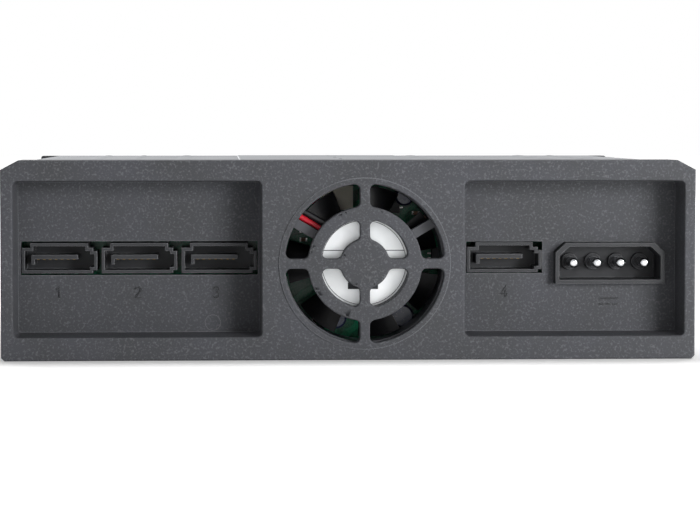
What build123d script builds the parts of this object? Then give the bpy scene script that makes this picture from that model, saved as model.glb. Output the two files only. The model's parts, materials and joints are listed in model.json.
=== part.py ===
from build123d import *
import math
import os

os.makedirs("parts", exist_ok=True)

# A hot swap cage for four small drives, in millimetres
# X runs across, Y from the tray fronts to the rear face, Z up from the base

# Body
cage_w = 146.0
cage_h = 42.0
sheet_t = 0.8
bend_r = 0.4
steel_front_y = -66.0
steel_rear_y = 60.0
cover_drop = 0.4
corner_run = 3.8
corner_rise = 2.0
fit_gap = 0.05
flange_in = 10.0

# Cover stiffening ribs: side, distance from the cover's slope, width
cover_ribs = [(1, 13.4, 4.0), (1, 22.4, 3.0), (1, 33.3, 4.2)]
cover_ribs += [(-1, 47.7, 5.0), (-1, 20.0, 6.0), (-1, 11.9, 3.4)]
cover_panel_w = 40.0
cover_panel_x = 3.0
rib_h = 0.35
panel_rise = 0.25
rib_root = 0.1
rib_end_gap = 14.0

# Front frame
front_lip = 1.0
front_frame_y = -72.0
front_frame_wall = 0.6
front_frame_drop = 0.05
front_edge = 0.25
front_corner_r = 0.5
lug_root = 0.5
lug_len = 8.0
lug_h = 16.0
lug_nib = 0.6
lug_nib_len = 2.2
lug_nib_back = 0.8
lug_nib_margin = 2.0

# Tray levels
ledge_reach = 3.4
ledge_spans = [(-50.0, -30.0), (-16.0, 6.0), (18.0, 40.0)]
ledge_window_h = 3.4
divider_rear_y = 42.8
divider_tab_len = 8.0
divider_tab_ys = [-44.0, -4.0, 30.0]

# Side bolt holes of a standard bay unit
bay_hole_r = 1.5
bay_hole_y = -24.6
bay_hole_pitch_y = 79.25
bay_hole_low_z = 10.0
bay_hole_pitch_z = 11.84

# Floor vents
vent_w = 3.0
vent_len = 17.0
vent_pitch = 12.0
vent_margin = 13.0
vent_ys = [-38.0, -8.0, 22.0]

# Rear housing
rear_face_y = 73.2
housing_wall = 2.0
housing_bottom_r = 0.7
recess_depth = 10.0
recess_draft = 2.0
recess_floor_t = 1.6
recess_wall_t = 1.6
recess_corner_r = 1.0
recess_border_z = (4.95, 4.35)
port_recess_side = 2.6
port_recess_bar = 21.65
power_recess_side = 2.3
power_recess_bar = 21.05
recess_edge_r = 0.4
housing_edge_r = 0.4
tongue_len = 6.4
tongue_w = 22.0
tongue_t = 1.6
tongue_root = 3.0
tongue_side_gap = 3.4

# Grille, seen from behind
grille_x = 3.15
grille_drop = 0.7
grille_border = 0.5
grille_crown = 0.8
grille_rim = 0.25
outer_slot_low_r = 12.0
outer_slot_margin = 0.1
inner_slot_r = (5.2, 9.3)
spoke_w = 2.1
slot_corner_r = 1.2
slot_edge_r = 0.35

# Backplane board
board_side_gap = 3.0
board_t = 1.6
board_gap_z = (2.2, 3.2)
board_corner_r = 1.0
board_y = 51.6
board_vent = (9.0, 5.0)
board_hole_r = 1.6
board_vent_places = [(-52.0, 13.0), (-38.0, 13.0), (-38.0, 34.0), (42.0, 12.0), (42.0, 34.0)]
board_hole_insets = [(7.5, 10.5), (8.0, 8.5)]
board_hole_inner = [(-26.15, -7.8), (25.85, -7.8)]
boss_r = 2.9
fan_boss_r = 2.5

# Data ports, seen from behind
port_rise = 0.1
port_w = 16.0
port_h = 6.4
port_wall = 0.65
port_proud = 0.2
port_cavity = 7.4
port_slot_gap = 0.2
port_first = 9.1
port_pitch = 16.95
lone_port_first = 9.35
port_notch_left = (1.8, 1.0)
port_notch_right = [(1.93, 1.0), (0.86, 1.7)]
port_notch_low = (0.9, 0.65)
tongue_bar = (9.9, 0.93)
tongue_leg = (0.7, 1.3)
tongue_place = (2.0, 2.5)
tongue_back = 0.6
contact_w = 0.5
contact_t = 0.12
contact_pitch = 1.27
contact_count = 7
contact_first = 3.4
contact_back = 1.2

# Power inlet, seen from behind
inlet_from_side = 14.7
inlet_drop = 1.1
inlet_w = 23.4
inlet_h = 8.7
inlet_wall = 0.8
inlet_proud = 2.5
inlet_corner = (2.2, 2.0)
inlet_gap = 0.15
inlet_floor_y = 56.2
pin_r = 1.05
pin_pitch = 5.08
pin_tip_y = 64.7
pin_nose_r = 0.7
collar_r = 1.75
collar_len = 1.0

# Drive sockets
socket_w = 42.0
socket_h = 6.2
socket_len = 8.5
socket_x = -8.6
socket_post = (2.6, 3.4)
socket_slot_h = 1.8
socket_key_x = 8.0
socket_key_gap = (1.0, 1.2)
socket_rise = 3.6
socket_ridge_in = 4.0
socket_ridge_len = 2.4
socket_edge = 0.5
socket_slot_in = 5.2
socket_slot_len = 5.6
socket_post_h = 2.4

# Fan
fan_room = 3.5
fan_depth = 10.0
fan_rear_y = 69.2
fan_corner_r = 3.0
fan_rim = 0.8
fan_hole_inset = 3.0
fan_hole_r = 1.35
strut_w = 2.0
strut_depth = 2.0
strut_angles = [30.0, 150.0, 270.0]
hub_plate_r = 9.7
hub_plate_t = 1.4
label_r = 9.35
label_t = 0.12
rotor_r = 9.6
rotor_len = 6.6
rotor_wall = 0.8
rotor_gap = 0.5
rotor_floor = 1.0
rotor_edge_r = 0.9
rotor_boss_len = 2.6
blade_tip_gap = 0.5
blade_count = 7
blade_t = 0.8
blade_pitch_root = 46.0
blade_pitch_tip = 30.0
blade_chord_root = 7.4
blade_chord_tip = 10.8
blade_camber = 0.9
shaft_r = 0.75
shaft_run_gap = 0.03
bearing_r = 1.7
bearing_len = 4.6
bearing_wall = 0.8
bearing_inset = 0.2
magnet_t = 1.1
stator_r = 6.6
stator_len = 3.2
stator_depth = 2.6
stator_core = 1.2
stator_arm_w = 2.2
stator_shoe = (0.9, 5.6)
stator_step = 0.6
coil_size = (1.8, 3.4)
coil_out = 2.2
magnet_span = (1.8, 0.3)

# Fan leads, seen from behind
lead_d = 1.2
lead_offsets = {"red": 1.7, "black": 3.05}
lead_start_r = 9.75
lead_drop = 18.5
lead_plane_y = 68.2
lead_board_y = 55.4
lead_plug = 8.75
lead_notch_gap = 0.25
lead_notch_depth = 5.3
lead_notch_run = (2.0, 16.0)
plug_size = (6.0, 3.4, 5.2)
plug_wall = 0.6
plug_play = (0.5, 0.2)
header_end = (1.0, 1.4)
header_proud = 0.3
plug_edge = 0.4

# Capacitors on the board: across and up from the grille's middle, radius, height
capacitors = [(8.85, -12.1, 2.5, 5.2), (-5.65, -12.3, 2.5, 5.2), (9.35, 13.7, 2.0, 4.6)]
capacitor_edge = 0.4

# Trays, in tray axes: X from the tray's middle, Z up from its level
bay_gap = 0.25
slide_gap = 0.2
sled_t = 0.6
sled_bend_r = 0.3
sled_front_y = -59.2
sled_rear_y = 41.0
sled_low_h = 4.2
sled_head = 3.4
sled_front_h = 14.0
sled_front_in = 2.0
sled_windows = [-19.0, 0.0, 19.0]
sled_window_w = 13.0
sled_window_ys = [-30.5, 11.5]
sled_window_len = 29.0
sled_window_r = 3.0
sled_side_cut = (3.6, 3.4, 8.0)
sled_socket_cut = (4.0, 12.0)
sled_vent = (4.6, 6.0)
sled_vent_pitch = 7.0
sled_vent_side = 3
sled_vent_r = 1.0
drive_hole_r = 1.7
drive_hole_inset = 4.79
drive_hole_ys = [-47.9, 28.7]
bezel_gap = 0.2
bezel_clear = 0.85
bezel_low_z = 0.3
bezel_y = -74.0
bezel_step_y = -66.4
bezel_skirt_in = 0.45
bezel_skirt_head = 3.9
bezel_skirt_z = 0.9
bezel_wall = 1.6
bezel_vent_w = 10.8
bezel_vent_pitch = 13.2
bezel_vent_x = -1.4
bezel_vent_border = 2.2
bezel_edge_r = 0.9
bezel_boss_r = 2.2
bezel_boss_inset = 3.1
bezel_boss_len = 1.8
bezel_arm = (0.5, 1.0, 2.0)
bezel_web_gap = 0.6
bezel_pin_skin = 0.6
peg_r = 1.1
peg_head_r = 1.8
peg_head_t = 0.8

# Lever
hinge_inset = 5.2
hinge_y = -71.4
lever_to_button = 4.8
lever_t = 3.2
pocket_border = 2.0
lever_barrel_r = 2.0
lever_proud = 0.3
lever_rim = 0.5
lever_gap = 0.4
lever_hex_r = 2.3
lever_hex_pitch = 5.4
lever_hex_first = 7.2
lever_hex_last = 7.3
lever_hex_margin = 0.25
lever_grip_w = 5.0
lever_groove = (1.0, 0.5, 2.8)
lever_groove_count = 4
lever_grip_end = 0.6
lever_pin_r = 1.0
lever_pin_gap = 0.05
pocket_floor_y = -69.0
pocket_floor_t = 1.5
claw_h = 5.0
claw_reach = 0.65
claw_tip_y = -65.8
claw_tip_len = 2.0
claw_gap = 0.45
claw_window = 8.0
claw_thick = 2.2

# Release button
button_inset = 9.1
button_w = 6.6
button_h = 11.0
button_proud = 0.2
button_len = 7.2
button_gap = 0.25
button_travel = 1.5
button_web_t = 1.2
button_wall = 1.2
button_face_t = 3.0
button_edge_r = 0.5
button_dish = (14.0, 0.5, 3.0)
button_spring_w = 4.0
button_spring_t = 0.25
button_spring_gap = (0.1, 0.05)
button_spring_border = 2.2

# Light guide and lamps
guide_side = 1.8
guide_inset = 0.05
guide_rear_y = 49.0
lamp_gap = 0.5
lamp_w = 2.4
lamp_edge = 0.3
guide_front = 0.1

# Fasteners
screw_r = 1.5
screw_head_r = 2.8
small_screw_r = 1.15
small_head_r = 2.2
small_head_h = 1.3
cover_screw_ys = [-52.0, -12.0, 28.0]
screw_inset = 7.0
screw_slot_w = 0.5
screw_reach = 0.3
fan_screw_reach = 1.6
board_screw_reach = 4.0
screw_clear = 0.4
boss_blind = (1.0, 1.2)
boss_fuse = 0.5

# Sizes that follow from those above
half_w = cage_w / 2
front_w = cage_w + 2 * front_lip
cover_top_z = cage_h - cover_drop
front_top_z = cover_top_z - front_frame_drop
level_pitch = (cage_h - 2 * sheet_t) / 2
screw_x = half_w - screw_inset
inner_half_w = half_w - sheet_t
bay_w = inner_half_w - sheet_t / 2
tray_x = sheet_t / 2 + bay_w / 2
sled_w = bay_w - 2 * bay_gap
level_floors = [sheet_t, sheet_t + level_pitch]
vent_count = int((half_w - vent_margin) / vent_pitch)
vent_xs = [vent_pitch * (i + 1) for i in range(vent_count)]
ledge_top_z = sheet_t + level_pitch
cover_low_z = cover_top_z - sheet_t
corner_angle = math.atan2(corner_rise, corner_run)
flange_low_z = cover_low_z - fit_gap - sheet_t
wall_inner_y = rear_face_y - housing_wall
grille_z = cage_h / 2 - grille_drop
fan_size = cage_h - 2 * fan_room
fan_bore_r = fan_size / 2 - fan_rim
fan_hole_pitch = fan_size - 2 * fan_hole_inset
blade_tip_r = fan_bore_r - blade_tip_gap
grille_disc_r = fan_size / 2 + grille_border
outer_slot_r = (outer_slot_low_r, fan_bore_r + outer_slot_margin)
recess_h = cage_h - sum(recess_border_z)
recess_z = recess_border_z[0] + recess_h / 2
port_recess_span = (port_recess_side - half_w, grille_x - port_recess_bar)
power_recess_span = (grille_x + power_recess_bar, half_w - power_recess_side)
port_recess_x = sum(port_recess_span) / 2
port_recess_w = port_recess_span[1] - port_recess_span[0]
power_recess_x = sum(power_recess_span) / 2
power_recess_w = power_recess_span[1] - power_recess_span[0]
port_z = cage_h / 2 + port_rise
port_xs = [port_recess_span[0] + port_first + i * port_pitch for i in range(3)]
port_xs += [power_recess_span[0] + lone_port_first]
inlet_x = power_recess_span[1] - inlet_from_side
inlet_z = cage_h / 2 - inlet_drop
board_w = cage_w - 2 * board_side_gap
board_low_z = board_gap_z[0]
board_h = cage_h - sum(board_gap_z)
(left_inset, left_drop), (right_inset, right_drop) = board_hole_insets
board_holes = [(left_inset - half_w, cage_h - left_drop), (half_w - right_inset, cage_h - right_drop)]
board_holes += [(grille_x + x, grille_z + z) for x, z in board_hole_inner]
recess_floor_y = rear_face_y - recess_depth
recess_back_y = recess_floor_y - recess_floor_t
board_rear_y = board_y + board_t
port_mouth_y = recess_floor_y + port_proud
inlet_mouth_y = recess_floor_y + inlet_proud
fan_front_y = fan_rear_y - fan_depth
hub_plate_y = fan_rear_y - strut_depth
rotor_rear_y = hub_plate_y - rotor_gap
lead_drop_x = grille_x - lead_drop
lead_plug_x = grille_x - lead_plug
rotor_front_y = rotor_rear_y - rotor_len
drive_low_z = slide_gap + sled_t
drive_hole_x = sled_w / 2 - drive_hole_inset
sled_high_h = level_pitch - sled_head
bezel_w = bay_w - 2 * bezel_gap
bezel_h = level_pitch - bezel_clear
bezel_mid_z = bezel_low_z + bezel_h / 2
bezel_skirt_h = level_pitch - bezel_skirt_head
bezel_boss_x = bezel_w / 2 - bezel_boss_inset
hinge_x = hinge_inset - bezel_w / 2
button_x = bezel_w / 2 - button_inset
lever_end_x = button_x - lever_to_button
lever_h = bezel_h - 2 * (pocket_border + lever_gap)
claw_window_x = hinge_x + claw_window
bezel_vent_half = lever_h / 2 - bezel_vent_border
bezel_vent_z = (bezel_mid_z - bezel_vent_half, bezel_mid_z + bezel_vent_half)
guide_x = sled_w / 2 - sled_t - guide_inset - guide_side / 2
guide_z = sled_high_h - guide_side / 2
lever_front_y = bezel_y + lever_proud
barrel_sweep = math.hypot(lever_front_y - hinge_y, lever_barrel_r + lever_gap)
pocket_low_x = hinge_x - barrel_sweep - lever_gap


def slab(x_span, y_span, z_span):
    """A block between two values on each axis."""
    size = [abs(s[1] - s[0]) for s in (x_span, y_span, z_span)]
    middle = [(s[0] + s[1]) / 2 for s in (x_span, y_span, z_span)]
    return Pos(*middle) * Box(*size)


def rear_prism(outline, y_from, y_to, taper=0.0):
    """Push an outline drawn as seen from behind from one depth to another."""
    plane = Plane(origin=(0, y_from, 0), x_dir=(-1, 0, 0), z_dir=(0, 1, 0))
    return extrude(plane * outline, amount=y_to - y_from, taper=taper)


def front_prism(outline, y_from, y_to):
    """Push an outline drawn as seen from the front, from the nearer depth to the farther."""
    plane = Plane(origin=(0, y_to, 0), x_dir=(1, 0, 0), z_dir=(0, -1, 0))
    return extrude(plane * outline, amount=y_to - y_from)


def rear_rod(x, z, radius, y_from, y_to):
    """A round rod along Y, placed as seen from behind."""
    return rear_prism(Pos(x, z) * Circle(radius), y_from, y_to)


def front_rod(x, z, radius, y_from, y_to):
    """A round rod along Y, placed as seen from the front."""
    return front_prism(Pos(x, z) * Circle(radius), y_from, y_to)


def side_rod(y, z, radius, x_from, x_to):
    """A round rod along X."""
    middle = Pos((x_from + x_to) / 2, y, z)
    return middle * Rot(0, 90, 0) * Cylinder(radius, abs(x_to - x_from))


def upright_rod(x, y, radius, z_from, z_to):
    """A round rod along Z."""
    return Pos(x, y, (z_from + z_to) / 2) * Cylinder(radius, z_to - z_from)


def inward_path(points, distance):
    """The path moved to its right by a distance, with mitred corners."""
    moved = []
    for i, point in enumerate(points):
        normals = []
        for a, b in ((i - 1, i), (i, i + 1)):
            if a >= 0 and b < len(points):
                run = Vector(*points[b]) - Vector(*points[a])
                run = run.normalized()
                normals.append(Vector(run.Y, -run.X))
        total = sum(normals[1:], normals[0]).normalized()
        reach = distance / total.dot(normals[0])
        moved.append((point[0] + total.X * reach, point[1] + total.Y * reach))
    return moved


def bent_sheet(outside, thickness, bend):
    """The section of a bent sheet, its outside face along a path that turns right."""
    inside = inward_path(outside, thickness)
    outer = FilletPolyline(*outside, radius=[bend + thickness] * (len(outside) - 2))
    inner = FilletPolyline(*inside, radius=[bend] * (len(outside) - 2))
    ends = [Line(outside[0], inside[0]), Line(outside[-1], inside[-1])]
    return make_face(outer.edges() + inner.edges() + ends)


def both_sides(shape):
    """A shape and its mirror image across the middle plane."""
    return shape + mirror(shape, about=Plane.YZ)


def flat_screw(radius, head_r, length):
    """A countersunk screw standing on its tip along Z, its head's top at zero."""
    head_h = head_r - radius
    body = Pos(0, 0, -length / 2) * Cylinder(radius, length)
    head = Pos(0, 0, -head_h / 2) * Cone(radius, head_r, head_h)
    slot = Box(head_r, screw_slot_w, head_h) + Box(screw_slot_w, head_r, head_h)
    return body + head - Pos(0, 0, -head_h / 2) * slot


def round_screw(radius, head_r, head_h, length):
    """A pan head screw pointing down -Z from the underside of its head at zero."""
    body = Pos(0, 0, -length / 2) * Cylinder(radius, length)
    head = Pos(0, 0, head_h / 2) * Cylinder(head_r, head_h)
    head = chamfer(head.edges().group_by(Axis.Z)[-1], head_h * 0.35)
    slot = Box(head_r, screw_slot_w, head_h) + Box(screw_slot_w, head_r, head_h)
    return body + head - Pos(0, 0, head_h * 0.75) * slot


def chassis_outside():
    """The outside line of the chassis: floor, walls, sloped corners and top flanges."""
    inset = sheet_t + fit_gap
    top = cover_top_z - inset
    slope_x = half_w - corner_run - inset * math.tan(corner_angle / 2)
    slope_z = cover_top_z - corner_rise - inset / math.cos(corner_angle)
    right = [(half_w - flange_in, top), (slope_x, top), (half_w, slope_z), (half_w, 0)]
    return right + [(-x, z) for x, z in reversed(right)]


def ledge(wall_x, y_span, direction):
    """A tab folded out of a wall, which carries an upper tray."""
    reach = wall_x + direction * ledge_reach
    return slab((wall_x, reach), y_span, (ledge_top_z - sheet_t, ledge_top_z))


def ledge_window(wall_x, y_span, direction):
    """The gap left in the wall above a folded tab."""
    outside = wall_x - direction * sheet_t
    return slab((wall_x, outside), y_span, (ledge_top_z, ledge_top_z + ledge_window_h))


def claw_notch(wall_x, reach):
    """Open-fronted notches beside both tray levels, where a lever's claw sits."""
    cuts = []
    for level in level_floors:
        middle = level + bezel_mid_z
        height = claw_h / 2 + claw_gap
        y_span = (steel_front_y - 1, claw_tip_y + claw_tip_len + claw_gap)
        cuts.append(slab((wall_x, reach), y_span, (middle - height, middle + height)))
    return cuts


def floor_vents():
    """Rows of round-ended vents, as one cutter."""
    outline = Sketch()
    for x in vent_xs:
        for y in vent_ys:
            outline += Pos(x, y) * Rot(0, 0, 90) * SlotOverall(vent_len, vent_w)
            outline += Pos(-x, y) * Rot(0, 0, 90) * SlotOverall(vent_len, vent_w)
    return extrude(outline, amount=sheet_t)


def divider_tab(y, z_from, z_to, gap):
    """One of the divider's tabs, or its slot when a gap is given."""
    half = sheet_t / 2 + gap
    length = divider_tab_len / 2 + gap
    return slab((-half, half), (y - length, y + length), (z_from, z_to))


def lug_nibs(gap):
    """The nibs of the front frame's side lugs, or their windows when a gap is given."""
    y = steel_front_y + lug_len - lug_nib_len
    height = lug_h / 2 - lug_nib_margin + gap
    y_span = (y - gap, y + lug_nib_len - lug_nib_back + gap)
    x_span = (half_w - lug_nib, half_w + gap)
    return both_sides(slab(x_span, y_span, (cage_h / 2 - height, cage_h / 2 + height)))


def bay_holes():
    """The bolt holes in both side walls."""
    holes = []
    for y in (bay_hole_y, bay_hole_y + bay_hole_pitch_y):
        for z in (bay_hole_low_z, bay_hole_low_z + bay_hole_pitch_z):
            holes.append(side_rod(y, z, bay_hole_r, -cage_w, cage_w))
    return holes


def screw_sites():
    """Where countersunk screws hold the cover, and where they hold the rear housing."""
    cover = [(side * screw_x, y) for side in (1, -1) for y in cover_screw_ys]
    housing_y = steel_rear_y - tongue_len / 2
    housing = [(side * screw_x, housing_y) for side in (1, -1)]
    return cover, housing


def countersink(z, direction):
    """A cutter for a countersunk screw whose head is flush with z."""
    head_h = screw_head_r - screw_r
    reach = sheet_t * 2 + fit_gap + screw_clear
    hole = Pos(0, 0, -reach / 2) * Cylinder(screw_r + fit_gap, reach)
    cone = Pos(0, 0, -head_h / 2) * Cone(screw_r + fit_gap, screw_head_r + fit_gap, head_h)
    cutter = hole + cone
    if direction < 0:
        cutter = Rot(180, 0, 0) * cutter
    return Pos(0, 0, z) * cutter


def chassis_shell():
    """The folded steel floor, walls and top flanges."""
    shell = front_prism(bent_sheet(chassis_outside(), sheet_t, bend_r), steel_front_y, steel_rear_y)
    for span in ledge_spans:
        shell += both_sides(ledge(inner_half_w, span, -1))
        shell -= both_sides(ledge_window(inner_half_w, span, -1))
    shell -= floor_vents()
    for y in divider_tab_ys:
        shell -= divider_tab(y, 0, sheet_t, fit_gap)
    for hole in bay_holes():
        shell -= hole
    for cut in claw_notch(-inner_half_w, -inner_half_w - claw_reach - claw_gap):
        shell -= cut
    shell -= lug_nibs(fit_gap)
    cover_sites, housing_sites = screw_sites()
    for x, y in cover_sites + housing_sites:
        shell -= Pos(x, y, 0) * countersink(cover_top_z, 1)
    for x, y in housing_sites:
        shell -= Pos(x, y, 0) * countersink(0, -1)
    return shell


def rib(side, inset, width):
    """One rolled rib on the cover, a distance in from its slope."""
    x = side * (half_w - corner_run - inset)
    low = cover_top_z - rib_root
    arc = ThreePointArc((x - width / 2, low), (x, low + rib_h), (x + width / 2, low))
    outline = make_face([arc, Line((x - width / 2, low), (x + width / 2, low))])
    return front_prism(outline, steel_front_y + rib_end_gap, steel_rear_y - rib_end_gap)


def top_cover():
    """The steel lid with sloped corners and rolled ribs."""
    run = half_w - corner_run
    edge_z = cover_top_z - corner_rise
    outside = [(-half_w, edge_z), (-run, cover_top_z), (run, cover_top_z), (half_w, edge_z)]
    lid = front_prism(bent_sheet(outside, sheet_t, bend_r), steel_front_y, steel_rear_y)
    for side, inset, width in cover_ribs:
        lid += rib(side, inset, width)
    panel_x = (cover_panel_x - cover_panel_w / 2, cover_panel_x + cover_panel_w / 2)
    panel_y = (steel_front_y + rib_end_gap, steel_rear_y - rib_end_gap)
    panel = slab(panel_x, panel_y, (cover_top_z - rib_root, cover_top_z + panel_rise))
    lid += chamfer(panel.edges().group_by(Axis.Z)[-1], panel_rise * 0.8)
    for y in divider_tab_ys:
        lid -= divider_tab(y, cover_low_z, cover_top_z + 1, fit_gap)
    cover_sites, housing_sites = screw_sites()
    for x, y in cover_sites + housing_sites:
        lid -= Pos(x, y, 0) * countersink(cover_top_z, 1)
    return lid


def centre_divider():
    """The upright sheet between the two tray columns, with folded tabs both ways."""
    sheet_x = (-sheet_t / 2, sheet_t / 2)
    plate = slab(sheet_x, (steel_front_y, divider_rear_y), (sheet_t, cover_low_z))
    for y in divider_tab_ys:
        plate += divider_tab(y, 0, sheet_t, 0)
        plate += divider_tab(y, cover_low_z, cover_top_z, 0)
    for low, high in ledge_spans:
        middle = (low + high) / 2
        spans = (((low, middle - 0.5), 1), ((middle + 0.5, high), -1))
        for span, direction in spans:
            plate -= ledge_window(direction * sheet_t / 2, span, direction)
            plate += ledge(direction * sheet_t / 2, span, direction)
    for cut in claw_notch(-sheet_t, sheet_t):
        plate -= cut
    return plate


def front_frame():
    """The moulded ring round the tray fronts, snapped over the steel by side lugs."""
    ring_z = (sheet_t, front_top_z - front_frame_wall)
    outer = Pos(0, front_top_z / 2) * RectangleRounded(front_w, front_top_z, front_corner_r)
    inner = Pos(0, sum(ring_z) / 2) * Rectangle(2 * inner_half_w, ring_z[1] - ring_z[0])
    ring = front_prism(outer - inner, front_frame_y, steel_front_y)
    ring = chamfer(ring.edges().filter_by(Plane.XZ).group_by(Axis.Y)[0], front_edge)
    lug_z = (cage_h / 2 - lug_h / 2, cage_h / 2 + lug_h / 2)
    lug_y = (steel_front_y - lug_root, steel_front_y + lug_len)
    ring += both_sides(slab((half_w, front_w / 2), lug_y, lug_z))
    ring += lug_nibs(0)
    for level in level_floors:
        middle = level + bezel_mid_z
        height = claw_h / 2 + claw_gap
        notch_x = (-inner_half_w + 0.1, -inner_half_w - claw_reach - claw_gap)
        notch_y = (front_frame_y - 1, steel_front_y + 0.1)
        ring -= slab(notch_x, notch_y, (middle - height, middle + height))
    return ring


def housing_outline():
    """The rear housing seen from behind: sloped top corners, square lower ones."""
    run = half_w - corner_run
    low = housing_bottom_r
    points = [(-half_w, low), (-half_w, cage_h - corner_rise), (-run, cage_h), (run, cage_h)]
    points += [(half_w, cage_h - corner_rise), (half_w, low), (half_w - low, 0), (low - half_w, 0)]
    return make_face(Polyline(*points, close=True))


def recess_outline(x, width):
    """A recess mouth with rounded corners."""
    return Pos(x, recess_z) * RectangleRounded(width, recess_h, recess_corner_r)


def recess_tub(x, width):
    """The walls and floor round a recess, before it is hollowed."""
    outline = Pos(x, recess_z) * Rectangle(width + 2 * recess_wall_t, recess_h + 2 * recess_wall_t)
    return rear_prism(outline, recess_back_y, rear_face_y - 0.5)


def recess_cut(x, width):
    """The hollow of a recess, a little narrower at its floor."""
    return rear_prism(recess_outline(x, width), rear_face_y, recess_floor_y, taper=recess_draft)


def recess_mouth(body, x, width):
    """The edges round a recess at the rear face."""
    low = (-x - width / 2 - fit_gap, rear_face_y - fit_gap, recess_z - recess_h / 2 - fit_gap)
    high = (-x + width / 2 + fit_gap, rear_face_y + fit_gap, recess_z + recess_h / 2 + fit_gap)
    return edges_between(body, low, high)


def edges_between(body, low, high):
    """The edges of a body whose middles lie in a box."""
    found = ShapeList()
    for edge in body.edges():
        middle = tuple(edge @ 0.5)
        if all(a <= m <= b for a, m, b in zip(low, middle, high)):
            found.append(edge)
    return found


def grille_slots():
    """The windows of the fan grille: two rings cut by a cross of spokes."""
    rings = Circle(outer_slot_r[1]) - Circle(outer_slot_r[0])
    rings += Circle(inner_slot_r[1]) - Circle(inner_slot_r[0])
    span = 2 * grille_disc_r
    windows = rings - Rectangle(spoke_w, span) - Rectangle(span, spoke_w)
    widest = (outer_slot_r[1] - outer_slot_r[0]) / 2
    windows = fillet(windows.vertices(), min(slot_corner_r, widest * 0.8))
    return rear_prism(Pos(grille_x, grille_z) * windows, wall_inner_y - 1, rear_face_y + 2)


def grille_disc():
    """The low dome that carries the grille."""
    rim_y = rear_face_y + grille_rim
    crown_y = rear_face_y + grille_crown
    middle = (grille_disc_r * 0.55, rear_face_y + grille_rim + (grille_crown - grille_rim) * 0.72)
    arc = ThreePointArc((0, crown_y), middle, (grille_disc_r, rim_y))
    sides = Polyline((grille_disc_r, rim_y), (grille_disc_r, wall_inner_y), (0, wall_inner_y))
    outline = make_face(arc.edges() + sides.edges() + [Line((0, wall_inner_y), (0, crown_y))])
    disc = revolve(outline, axis=Axis.Y)
    return Pos(-grille_x, 0, grille_z) * disc


def port_outline(grow):
    """A port's outer outline seen from behind, keyed at three corners."""
    left = -port_w / 2 - grow
    right = port_w / 2 + grow
    low = -port_h / 2 - grow
    high = port_h / 2 + grow
    left_x, left_z = port_notch_left
    (outer_x, upper_z), (inner_x, lower_z) = port_notch_right
    low_x, low_z = port_notch_low
    points = [(left, low), (left, high - left_z), (left + left_x, high - left_z)]
    points += [(left + left_x, high), (right - outer_x, high), (right - outer_x, high - upper_z)]
    points += [(right - inner_x, high - upper_z), (right - inner_x, high - lower_z)]
    points += [(right, high - lower_z), (right, low + low_z), (right - low_x, low + low_z)]
    points += [(right - low_x, low)]
    return make_face(Polyline(*points, close=True))


def port_openings():
    """The slot shared by three ports and the cut-out of the fourth."""
    gap = port_slot_gap
    first = port_xs[0] - port_w / 2 - gap
    last = port_xs[2] + port_w / 2 + gap
    shared = Pos((first + last) / 2, port_z) * Rectangle(last - first, port_h + 4 * gap)
    single = Pos(port_xs[3], port_z) * Rectangle(port_w + 2 * gap, port_h + 2 * gap)
    return rear_prism(shared + single, recess_back_y - 1, recess_floor_y + 1)


def inlet_outline(shrink):
    """The power inlet's outline with two sloped upper corners."""
    half = inlet_w / 2 - shrink
    half_h = inlet_h / 2 - shrink
    cut_x, cut_z = inlet_corner
    points = [(-half, -half_h), (-half, half_h - cut_z), (-half + cut_x, half_h)]
    points += [(half - cut_x, half_h), (half, half_h - cut_z), (half, -half_h)]
    return Pos(inlet_x, inlet_z) * make_face(Polyline(*points, close=True))


def fan_corners():
    """The fan's four screw places, seen from behind."""
    half = fan_hole_pitch / 2
    return [(grille_x + i * half, grille_z + j * half) for i in (1, -1) for j in (1, -1)]


def housing_tongues():
    """Tongues above and below that enter the steel, two each way."""
    low = sheet_t + fit_gap
    high = flange_low_z - fit_gap
    x_span = (screw_x - tongue_w / 2, inner_half_w - tongue_side_gap)
    reach_y = (steel_rear_y - tongue_len, steel_rear_y + 1)
    root_y = (steel_rear_y + fit_gap, steel_rear_y + tongue_root)
    blades = ((low, low + tongue_t), (high - tongue_t, high))
    roots = ((housing_wall / 2, low + tongue_t), (high - tongue_t, cage_h - housing_wall / 2))
    shapes = [both_sides(slab(x_span, reach_y, z_span)) for z_span in blades]
    return shapes + [both_sides(slab(x_span, root_y, z_span)) for z_span in roots]


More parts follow.
